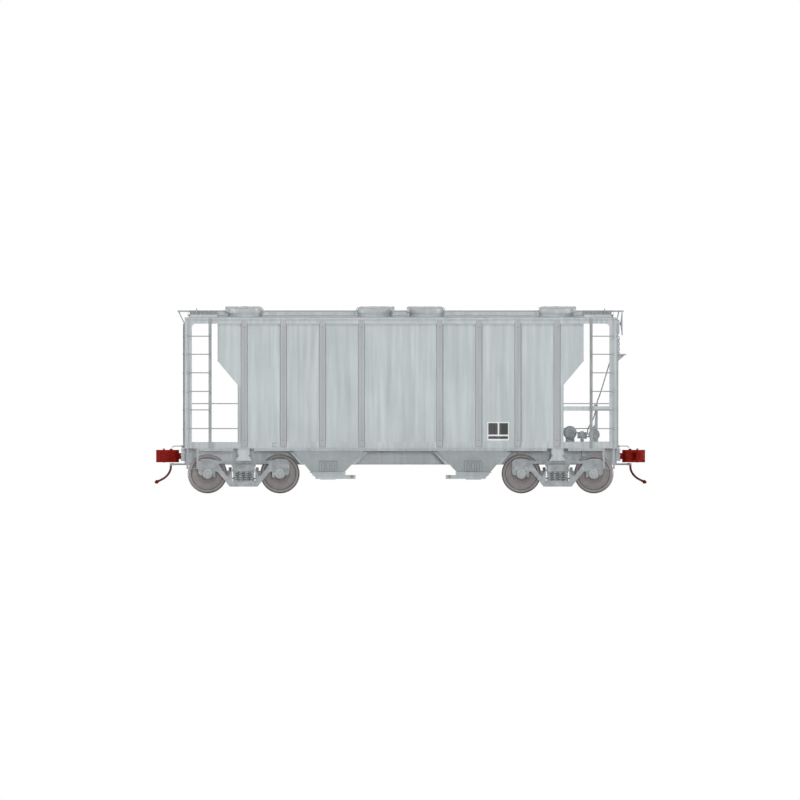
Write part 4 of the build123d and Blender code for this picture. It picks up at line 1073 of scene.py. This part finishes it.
@dataclass
class SideTrim(SubAssembly):
    """Welds of the posts, seams of the top chords, and the blank plates and card holder of the near side."""

    post_pitch: float = 0.958
    posts: tuple[int, ...] = (-4, -3, -2, -1, 1, 2, 3, 4)
    post_face_y: float = 1.524
    weld_half: float = 0.005
    weld_height: float = 0.004
    mark_z: Pair = (1.301, 4.077)
    mark_half: Pair = (0.036, 0.007)
    mark_height: float = 0.005
    seam_z: tuple[Pair, ...] = ((4.248, 4.256), (4.300, 4.309))
    seam_end_x: float = 5.288
    seam_height: float = 0.002
    sheet_y: float = 1.461
    board: tuple[Pair, Pair] = ((2.122, 2.656), (1.294, 1.752))
    board_height: float = 0.003
    plates: tuple[tuple[Pair, Pair], ...] = (
        ((2.149, 2.379), (1.441, 1.722)),
        ((2.416, 2.631), (1.441, 1.722)),
        ((2.149, 2.631), (1.335, 1.401)),
    )
    plate_heights: Pair = (0.002, 0.0045)
    sill_face_y: float = 1.475
    card_x: Pair = (-3.140, -3.028)
    card_z: Pair = (1.136, 1.237)
    card_bar: float = 0.014
    card_height: float = 0.008

    def build(self) -> None:
        """Fasten the trim to the car body."""
        self.shop.piece("post_welds", self._welds, Coat.SHADE_GREY)
        self.shop.piece("plug_marks", self._marks, Coat.SEAM_SHADE)
        self.shop.piece("chord_seams", self._seams, Coat.SEAM_SHADE)
        self.shop.piece("side_board", self._lay_board, Coat.WHITE)
        self.shop.piece("side_board_plates", self._lay_plates, Coat.BLACK)
        self.shop.piece("card_holder", self._card, Coat.SHADE_GREY)

    def _on_posts(self, side: int, height: float) -> list[float]:
        """Give the range across of what is laid on the posts' faces."""
        return scaled(side, (self.post_face_y - SEAT, self.post_face_y + height))

    def _welds(self, form: Form) -> None:
        """Add a weld bead down each post.

        Args:
            form: Form that gets them.
        """
        for side, number in product(SIDES, self.posts):
            x = about(number * self.post_pitch, self.weld_half)
            form.box(x, self._on_posts(side, self.weld_height), self.mark_z)

    def _marks(self, form: Form) -> None:
        """Add the mark of the plug weld at each end of each post's bead.

        Args:
            form: Form that gets them.
        """
        wide, high = self.mark_half
        for side, number, z in product(SIDES, self.posts, self.mark_z):
            x = about(number * self.post_pitch, wide)
            form.box(x, self._on_posts(side, self.mark_height), about(z, high))

    def _seams(self, form: Form) -> None:
        """Add the seams along both top chords."""
        for side, z in product(SIDES, self.seam_z):
            form.box(about(0.0, self.seam_end_x), self._on_posts(side, self.seam_height), z)

    def _lay_board(self, form: Form) -> None:
        """Add the pale board under the black plates."""
        x, z = self.board
        form.box(x, (-self.sheet_y - self.board_height, -self.sheet_y + SEAT), z)

    def _lay_plates(self, form: Form) -> None:
        """Add the black plates, which carry nothing."""
        for x, z in self.plates:
            form.box(x, [-self.sheet_y - height for height in self.plate_heights], z)

    def _card(self, form: Form) -> None:
        """Add the open frame of the card holder on the side sill.

        Args:
            form: Form that gets it.
        """
        (left, _), (low, high) = self.card_x, self.card_z
        y = (-self.sill_face_y - self.card_height, -self.sill_face_y + SEAT)
        form.box((left, left + self.card_bar), y, self.card_z)
        for z in (low, high - self.card_bar):
            form.box(self.card_x, y, (z, z + self.card_bar))


@dataclass
class OutletFittings(SubAssembly):
    """Bolts of the outlet frames, gate shafts with pinions and capstans, and beads of the shaker brackets."""

    wall_y: float = 0.9661
    bolt_x: tuple[float, ...] = (1.42, 1.54, 1.66, 1.78, 1.90, 2.02)
    bolt_z: Pair = (0.410, 0.481)
    bolt_size: Pair = (0.014, 0.012)
    shaft_x: float = 1.200
    shaft_z: float = 0.415
    shaft_radius: float = 0.016
    pinion_y: tuple[float, ...] = (-0.80, -0.30, 0.30, 0.80)
    pinion_half: float = 0.02
    pinion_radius: float = 0.024
    capstan_y: Pair = (0.985, 1.035)
    capstan_half: float = 0.028
    shaker: Point = (1.778, 1.0436, 0.678)
    shaker_slope: float = 58.0
    shaker_plate: float = 0.022
    # Half width, half height and corner cut of the bracket's edge and of a slot's
    shaker_edge: Point = (0.2145, 0.142, 0.035)
    slot_edge: Point = (0.040, 0.106, 0.039)
    slot_pitch: float = 0.120
    bead_radius: float = 0.008

    def build(self) -> None:
        """Fasten the bolts, shafts and beads of both bays."""
        self.shop.piece("outlet_bolts", self._bolts, Coat.FRAMING)
        self.shop.piece("gate_shafts", self._shafts, Coat.IRON, "brake_iron")
        self.shop.piece("shaker_beads", self._beads, Coat.SHADE_GREY, smooth=True)

    def _bolts(self, form: Form) -> None:
        """Add two rows of bolts on the outer wall of each outlet frame."""
        for (end, _), side, x, z in product(ENDS, SIDES, self.bolt_x, self.bolt_z):
            form.bolt((end * x, side * self.wall_y, z), (0, side, 0), *self.bolt_size)

    def _beads(self, form: Form) -> None:
        """Add the raised edge of each shaker bracket and of its three slots.

        Args:
            form: Form that gets them.
        """
        tilt = math.radians(self.shaker_slope)
        x, y, z = self.shaker
        edges = [(0.0, self.shaker_edge), *((n * self.slot_pitch, self.slot_edge) for n in (-1, 0, 1))]
        for (end, _), side in product(ENDS, SIDES):
            up = Vector((0, side * math.cos(tilt), math.sin(tilt)))
            out = Vector((0, side * math.sin(tilt), -math.cos(tilt)))
            face = Vector((end * x, side * y, z)) + out * self.shaker_plate
            for shift, edge in edges:
                line = [face + Vector((shift + point.x, 0, 0)) + up * point.y for point in rounded(*edge)]
                form.tube(line, self.bead_radius, 6)

    def _shafts(self, form: Form) -> None:
        """Add a cross shaft before each outlet, with pinions and a square capstan at each end.

        Args:
            form: Form that gets them.
        """
        for end, _ in ENDS:
            x, z = end * self.shaft_x, self.shaft_z
            form.tube([(x, y, z) for y in about(0.0, self.capstan_y[0])], self.shaft_radius, 12)
            for middle in self.pinion_y:
                form.tube([(x, y, z) for y in about(middle, self.pinion_half)], self.pinion_radius, 12)
            for side in SIDES:
                reach = scaled(side, self.capstan_y)
                form.box(about(x, self.capstan_half), reach, about(z, self.capstan_half))


@dataclass
class RoofFittings(SubAssembly):
    """Seam straps of the roof sheets, and the catches, bolts and latch bars of the hatches."""

    rise: float = 0.065
    ridge_z: float = 4.383
    flat_y: float = 1.451
    seam_x: tuple[float, ...] = (-4.40, -2.60, -1.70, 0.0, 1.70, 2.60, 4.40)
    seam_y: Pair = (0.37, 1.44)
    seam_half: float = 0.024
    seam_height: float = 0.006
    hatch_y: float = 0.845
    # Number of each pair of hatches, its place along the car and the direction of its hinges
    hatches: tuple[tuple[int, float, int], ...] = (
        (1, -3.810, 1),
        (2, -0.637, -1),
        (3, 0.637, 1),
        (4, 3.810, -1),
    )
    latch_reach: float = 0.4505
    # Half length, half width and top of a catch's plate
    catch_plate: Point = (0.014, 0.055, 0.096)
    # Half width and height of a catch's hook
    catch_hook: Pair = (0.085, 0.080)
    hook_radius: float = 0.012
    # Half width and height of the latch bar
    latch_bar: Pair = (0.115, 0.219)
    latch_radius: float = 0.011
    # Half length and radius of the ears at both ends of the latch bar
    latch_ear: Pair = (0.02, 0.012)
    # Level bar over the batten, cut off before the hinge so that it clears the roof when the lid is open
    level_half: float = 0.032
    level: tuple[Pair, ...] = (
        (-0.470, 0.196),
        (-0.470, 0.2355),
        (0.350, 0.2355),
        (0.424, 0.206),
        (0.400, 0.196),
    )
    batten_top: float = 0.222
    batten_flat: float = 0.09
    batten_fall: float = 0.0567
    bolt_x: tuple[float, ...] = (-0.30, -0.078, 0.078, 0.30)
    bolt_y: Pair = (-0.048, 0.048)
    bolt_size: Pair = (0.010, 0.011)

    def build(self) -> None:
        """Fasten the straps and catches to the roof and the bars to the lids."""
        self.shop.piece("roof_seams", self._seams, Coat.ROOF, "roof_paint")
        self.shop.piece("hatch_catches", self._catches, Coat.ROOF, "roof_paint")
        for (number, x, hinge), (side, name) in product(self.hatches, ((1, "left"), (-1, "right"))):
            shape = partial(self._lid, spot=self._spot(x, side), hinge=hinge)
            lid = f"{number}_{name}"
            self.shop.piece(f"hatch_fittings_{lid}", shape, Coat.HATCH, "roof_paint", f"hatch_lid_{lid}")

    def _top(self, y: float) -> float:
        """Give the height of the roof's upper face at a distance from the ridge."""
        return self.ridge_z - self.rise * abs(y) / self.flat_y

    def _spot(self, x: float, side: int) -> Matrix:
        """Give the frame of a hatch, which leans with the roof.

        Args:
            x: Place of the hatch along the car.
            side: -1 or 1 across the car.

        Returns:
            Matrix from the hatch's own axes to the car's.
        """
        tilt = math.atan2(self.rise, self.flat_y)
        spot = Vector((x, side * self.hatch_y, self._top(self.hatch_y)))
        return Matrix.Translation(spot) @ Matrix.Rotation(-side * tilt, 4, "X")

    def _seams(self, form: Form) -> None:
        """Add the straps that cover the cross seams.

        Args:
            form: Form that gets them.
        """
        near, far = self.seam_y
        corners = ((near, -SEAT), (far, -SEAT), (far, self.seam_height), (near, self.seam_height))
        for x, side in product(self.seam_x, SIDES):
            form.prism([(side * y, self._top(y) + lift) for y, lift in corners], about(x, self.seam_half))

    def _catches(self, form: Form) -> None:
        """Add the catch under each lid's latch.

        Args:
            form: Form that gets them.
        """
        long, wide, top = self.catch_plate
        hook_half, hook_z = self.catch_hook
        for (_, x, hinge), side in product(self.hatches, SIDES):
            catch = Form()
            reach = -hinge * self.latch_reach
            catch.box(about(reach, long), about(0.0, wide), (-2 * SEAT, top))
            catch.tube([(reach, y, hook_z) for y in about(0.0, hook_half)], self.hook_radius)
            form.place(catch, self._spot(x, side))

    def _lid(self, form: Form, spot: Matrix, hinge: int) -> None:
        """Add a lid's latch bar and the bolts of its batten.

        Args:
            form: Form that gets them.
            spot: Frame of the hatch.
            hinge: Direction along the car in which the hinge stands.
        """
        own = Form()
        reach = -hinge * self.latch_reach
        half, bar_z = self.latch_bar
        ends = about(0.0, half)
        own.tube([(reach, y, bar_z) for y in ends], self.latch_radius, 10)
        ear_half, ear_radius = self.latch_ear
        for y in ends:
            own.tube([(x, y, bar_z) for x in about(reach, ear_half)], ear_radius, 10)
        own.prism([(hinge * x, z) for x, z in self.level], about(0.0, self.level_half), Heading.ACROSS)
        for x, y in product(self.bolt_x, self.bolt_y):
            drop = max(0.0, abs(x) - self.batten_flat) * self.batten_fall
            own.bolt((x, y, self.batten_top - drop), (0, 0, 1), *self.bolt_size)
        form.place(own, spot)


@dataclass
class EndFittings(SubAssembly):
    """Uncoupling levers, striker bolts, angle cock handles and coupler pins at both ends."""

    lever: tuple[Point, ...] = (
        (5.600, -0.020, 1.125),
        (5.560, -0.030, 1.160),
        (5.352, -0.120, 1.160),
        (5.352, -1.360, 1.160),
        (5.352, -1.410, 0.900),
    )
    lever_bend: float = 0.05
    lever_radius: float = 0.011
    bracket_x: Pair = (5.291, 5.368)
    bracket_y: Pair = (-0.22, -1.15)
    bracket_half: float = 0.006
    bracket_z: Pair = (1.140, 1.178)
    striker_x: float = 5.372
    striker_y: float = 0.19
    striker_z: tuple[float, ...] = (0.82, 0.93, 1.065)
    striker_size: Pair = (0.018, 0.014)
    handle: tuple[Point, ...] = ((5.628, 0.325, 0.715), (5.628, 0.390, 0.715), (5.608, 0.470, 0.685))
    handle_bend: float = 0.03
    handle_radius: float = 0.009
    knuckle_pin: Point = (5.800, -0.150, 1.085)
    pin_size: Pair = (0.030, 0.014)

    def build(self) -> None:
        """Fasten the fittings to the body and to the couplers."""
        self.shop.piece("uncoupling_levers", self._levers, Coat.LADDER, smooth=True)
        self.shop.piece("striker_bolts", self._bolts, Coat.FRAMING)
        self.shop.piece("angle_cock_handles", self._handles, Coat.BRAKE, "brake_iron")
        for end, letter in ENDS:
            shape = partial(self._pin, end=end)
            body = f"coupler_{letter}"
            self.shop.piece(f"coupler_pin_head_{letter}", shape, Coat.COUPLER, "coupler_steel", body)

    def _levers(self, form: Form) -> None:
        """Add a bent lever on two brackets on the left of each end.

        Args:
            form: Form that gets them.
        """
        for end, _ in ENDS:
            form.tube(bent(turned(end, self.lever), self.lever_bend), self.lever_radius, 10)
            for y in scaled(end, self.bracket_y):
                form.box(scaled(end, self.bracket_x), about(y, self.bracket_half), self.bracket_z)

    def _bolts(self, form: Form) -> None:
        """Add the bolts of the striker castings."""
        for (end, _), z, side in product(ENDS, self.striker_z, SIDES):
            form.bolt((end * self.striker_x, side * self.striker_y, z), (end, 0, 0), *self.striker_size)

    def _handles(self, form: Form) -> None:
        """Add the handle of each angle cock."""
        for end, _ in ENDS:
            form.tube(bent(turned(end, self.handle), self.handle_bend), self.handle_radius)

    def _pin(self, form: Form, end: int) -> None:
        """Add the head of one end's knuckle pin."""
        form.bolt(turned(end, [self.knuckle_pin])[0], (0, 0, 1), *self.pin_size)


@dataclass
class BrakeRigging(SubAssembly):
    """Air brake pipes, levers and valve, and the hand brake's fork, chain and channel, all at the B end."""

    pipes: tuple[tuple[Point, ...], ...] = (
        # From the retaining valve down to the control valve
        (
            (5.238, -0.821, 4.150),
            (5.238, -0.821, 3.650),
            (5.106, -0.620, 3.146),
            (4.880, -0.380, 2.411),
            (4.804, -0.310, 2.222),
            (4.768, -0.210, 1.960),
            (4.692, -0.090, 1.764),
            (4.618, 0.010, 1.642),
            (4.581, 0.040, 1.568),
            (4.581, 0.000, 1.450),
            (4.552, -0.020, 1.440),
        ),
        # From the reservoir, to the cylinder and down to the train pipe
        ((4.150, 0.345, 1.489), (4.150, 0.220, 1.489), (4.445, 0.220, 1.489), (4.445, 0.040, 1.489)),
        ((4.552, -0.070, 1.390), (4.740, -0.070, 1.390), (4.740, 0.095, 1.390)),
        ((4.445, -0.140, 1.400), (4.445, -0.260, 1.400), (4.445, -0.260, 0.900), (4.445, -0.170, 0.900)),
    )
    pipe_bend: float = 0.12
    pipe_radius: float = 0.015
    retainer: Pair = (5.238, -0.821)
    # Range upwards and radius of the retaining valve's body and of its cap
    retainer_steps: tuple[tuple[Pair, float], ...] = (((4.144, 4.239), 0.032), ((4.239, 4.259), 0.020))
    lever_x: float = 4.740
    lever_half: float = 0.014
    lever_y: Pair = (0.765, 0.845)
    lever_z: Pair = (1.272, 1.666)
    pin_z: tuple[float, ...] = (1.330, 1.439, 1.610)
    pin_half: float = 0.036
    pin_radius: float = 0.024
    strut_y: Pair = (1.460, 1.474)
    strut: tuple[Pair, ...] = ((4.721, 1.258), (4.829, 1.258), (4.829, 2.026), (4.775, 2.026))
    clamp_y: Pair = (1.460, 1.494)
    clamp: tuple[Pair, ...] = ((4.715, 2.133), (4.835, 2.133), (4.820, 2.178), (4.745, 2.178))
    fork_x: Pair = (5.306, 5.330)
    fork_y: float = -0.400
    fork_half: float = 0.034
    # Outline of a prong, across from its middle, and its tip, which leans inwards
    prong: tuple[Pair, ...] = ((-0.012, 1.420), (-0.010, 1.150), (0.010, 1.150), (0.012, 1.420))
    prong_tip: Pair = (0.020, 1.600)
    chain_x: float = 5.340
    chain_z: float = 3.800
    links: int = 8
    link_pitch: float = 0.064
    link: Point = (0.022, 0.046, 0.021)
    link_radius: float = 0.008
    lip_x: Pair = (5.331, 5.336)
    lip_y: tuple[Pair, ...] = ((-0.553, -0.500), (-0.349, -0.327))
    lip_z: tuple[Pair, ...] = ((1.124, 3.394), (3.422, 3.902))

    def build(self) -> None:
        """Fasten the brake gear to the car body."""
        self.shop.piece("brake_pipes", self._lay_pipes, Coat.BRAKE, "brake_iron", smooth=True)
        self.shop.piece("brake_levers", self._levers, Coat.BRAKE, "brake_iron")
        self.shop.piece("brake_strut", self._struts, Coat.FRAMING)
        self.shop.piece("brake_chain", self._chain, Coat.LADDER, "brake_iron", smooth=True)
        self.shop.piece("channel_lips", self._lips, Coat.FRAMING, "brake_iron")

    def _lay_pipes(self, form: Form) -> None:
        """Add the pipes between reservoir, valves and cylinder, and the retaining valve.

        Args:
            form: Form that gets them.
        """
        for line in self.pipes:
            form.tube(bent(line, self.pipe_bend), self.pipe_radius, 10)
        for heights, radius in self.retainer_steps:
            form.tube([(*self.retainer, z) for z in heights], radius, 12)

    def _levers(self, form: Form) -> None:
        """Add the cylinder lever with its pins and the fork at the foot of the hand brake chain.

        Args:
            form: Form that gets them.
        """
        form.box(about(self.lever_x, self.lever_half), self.lever_y, self.lever_z)
        middle = sum(self.lever_y) / 2
        for z in self.pin_z:
            form.tube([(x, middle, z) for x in about(self.lever_x, self.pin_half)], self.pin_radius, 12)
        for side in SIDES:
            y = self.fork_y + side * self.fork_half
            lean, top = self.prong_tip
            outline = [(y - side * lean, top), *((y + shift, z) for shift, z in self.prong)]
            form.prism(outline, self.fork_x)

    def _chain(self, form: Form) -> None:
        """Add the links that hang from the housing, each a quarter turn from the one above it.

        Args:
            form: Form that gets them.
        """
        for n in range(self.links):
            middle = Vector((self.chain_x, self.fork_y, self.chain_z - n * self.link_pitch))
            edge = [(0, p.x, p.y) if n % 2 else (p.x, 0, p.y) for p in rounded(*self.link)]
            form.tube([middle + Vector(point) for point in edge], self.link_radius)

    def _lips(self, form: Form) -> None:
        """Add the lips on both flanges of the hand brake channel, below and above the step."""
        for y, z in product(self.lip_y, self.lip_z):
            form.box(self.lip_x, y, z)

    def _struts(self, form: Form) -> None:
        """Add the tapered strut from the side sill up to the side channel, with its clamp."""
        form.prism(self.strut, self.strut_y, Heading.ACROSS)
        form.prism(self.clamp, self.clamp_y, Heading.ACROSS)


@dataclass
class BodyTrim(SubAssembly):
    """Plates and straps of the roof walks, lips of the side sills, and seams and gussets of the ends."""

    # The plates stand a little proud of the saddles' ends, which are at 0.361
    walk_y: Pair = (0.3565, 0.3625)
    walk_z: Pair = (4.366, 4.444)
    walk_end_x: float = 5.160
    lip_x: tuple[Pair, ...] = ((-4.950, -4.100), (-3.590, 3.590), (4.100, 4.950))
    lip_y: Pair = (1.455, 1.463)
    lip_z: Pair = (1.040, 1.104)
    wall_x: float = 4.486
    end_slope: float = 50.0
    # The first seam is at the top of the slope
    seam_z: Pair = (3.244, 2.506)
    seam_y: float = 1.448
    seam_radius: float = 0.007
    strap_x: Pair = (5.206, 5.214)
    strap_y: Pair = (0.147, 0.205)
    strap_z: Pair = (4.180, 4.445)
    web_x: Pair = (4.526, 5.127)
    web_half: float = 0.004
    web_y: Pair = (0.360, 0.422)
    web_z: Pair = (4.362, 4.456)
    edge_x: Pair = (4.486, 5.167)
    edge_y: Pair = (1.462, 1.474)
    edge_z: Pair = (4.312, 4.377)
    gusset_x: Pair = (5.272, 5.281)
    gusset: tuple[Pair, ...] = ((1.462, 1.256), (1.462, 1.350), (1.382, 1.256))

    def build(self) -> None:
        """Fasten the trim to the car body."""
        self.shop.piece("walk_side_plates", self._plates, Coat.ROOF, "roof_paint")
        self.shop.piece("sill_lips", self._lips, Coat.FRAMING)
        self.shop.piece("end_sheet_seams", self._seams, Coat.SHADE_GREY)
        self.shop.piece("walk_straps", self._straps, Coat.SHADE_GREY, "roof_paint")
        self.shop.piece("cross_walk_edges", self._edges, Coat.FRAMING, "roof_paint")
        self.shop.piece("end_gussets", self._gussets, Coat.FRAMING)

    def _plates(self, form: Form) -> None:
        """Add the plates that close the gap between the roof and the centre walk's edges."""
        for side in SIDES:
            form.box(about(0.0, self.walk_end_x), scaled(side, self.walk_y), self.walk_z)

    def _lips(self, form: Form) -> None:
        """Add the lips between the trucks' bolsters and beyond them."""
        for side, x in product(SIDES, self.lip_x):
            form.box(x, scaled(side, self.lip_y), self.lip_z)

    def _seams(self, form: Form) -> None:
        """Add a weld bead at the top of each slope sheet and one part way down it.

        Args:
            form: Form that gets them.
        """
        for (end, _), z in product(ENDS, self.seam_z):
            x = end * (self.wall_x - (self.seam_z[0] - z) / math.tan(math.radians(self.end_slope)))
            form.tube([(x, y, z) for y in about(0.0, self.seam_y)], self.seam_radius, 6)

    def _straps(self, form: Form) -> None:
        """Add two straps at each end that carry the centre walk, and webs beside it under the cross walks.

        Args:
            form: Form that gets them.
        """
        for (end, _), side in product(ENDS, SIDES):
            form.box(scaled(end, self.strap_x), scaled(side, self.strap_y), self.strap_z)
            for x in scaled(end, self.web_x):
                form.box(about(x, self.web_half), scaled(side, self.web_y), self.web_z)

    def _edges(self, form: Form) -> None:
        """Add the edge plate that carries the outer end of each cross walk."""
        for (end, _), side in product(ENDS, SIDES):
            form.box(scaled(end, self.edge_x), scaled(side, self.edge_y), self.edge_z)

    def _gussets(self, form: Form) -> None:
        """Add the gussets between the end sills and the corner posts."""
        for (end, _), side in product(ENDS, SIDES):
            form.prism([(side * y, z) for y, z in self.gusset], scaled(end, self.gusset_x))


@dataclass
class LadderBolts(SubAssembly):
    """Bolt heads where the rungs of the side and the end ladders meet their stiles and posts."""

    rung_z: tuple[float, ...] = (1.588, 2.046, 2.499, 2.955, 3.408, 3.851)
    # Places along and across the car of a side ladder's stile and post
    feet: tuple[Pair, ...] = ((4.672, 1.532), (5.235, 1.524))
    lifts: Pair = (-0.03, 0.03)
    bolt_size: Pair = (0.015, 0.011)
    end_x: float = 5.318
    # Outer face of each stile of an end ladder, and the way it looks
    end_y: tuple[tuple[float, int], ...] = ((1.027, -1), (1.471, 1))
    nut_size: Pair = (0.022, 0.018)

    def build(self) -> None:
        """Fasten the bolts of all ladders."""
        self.shop.piece("ladder_bolts", self._bolts, Coat.SHADE_GREY)

    def _bolts(self, form: Form) -> None:
        """Add two bolts at each end of each side rung and one nut at each end of each end rung.

        Args:
            form: Form that gets them.
        """
        for end, _ in ENDS:
            for side, z, (x, y), lift in product(SIDES, self.rung_z, self.feet, self.lifts):
                form.bolt((end * x, side * y, z + lift), (0, side, 0), *self.bolt_size)
            for (y, away), z in product(self.end_y, self.rung_z):
                form.bolt((end * self.end_x, -end * y, z), (0, -end * away, 0), *self.nut_size)


def main() -> None:
    """Build the studio and each sub-assembly in order."""
    logging.basicConfig(level=logging.INFO, format="%(name)s: %(message)s")
    Studio().build()
    shop = Shop()
    for part in (
        AirHoses,
        Paintwork,
        CoilSprings,
        TruckFittings,
        SideTrim,
        OutletFittings,
        RoofFittings,
        EndFittings,
        BrakeRigging,
        BodyTrim,
        LadderBolts,
    ):
        LOG.info("building %s", part.__name__)
        part(shop).build()


if __name__ == "__main__":
    main()
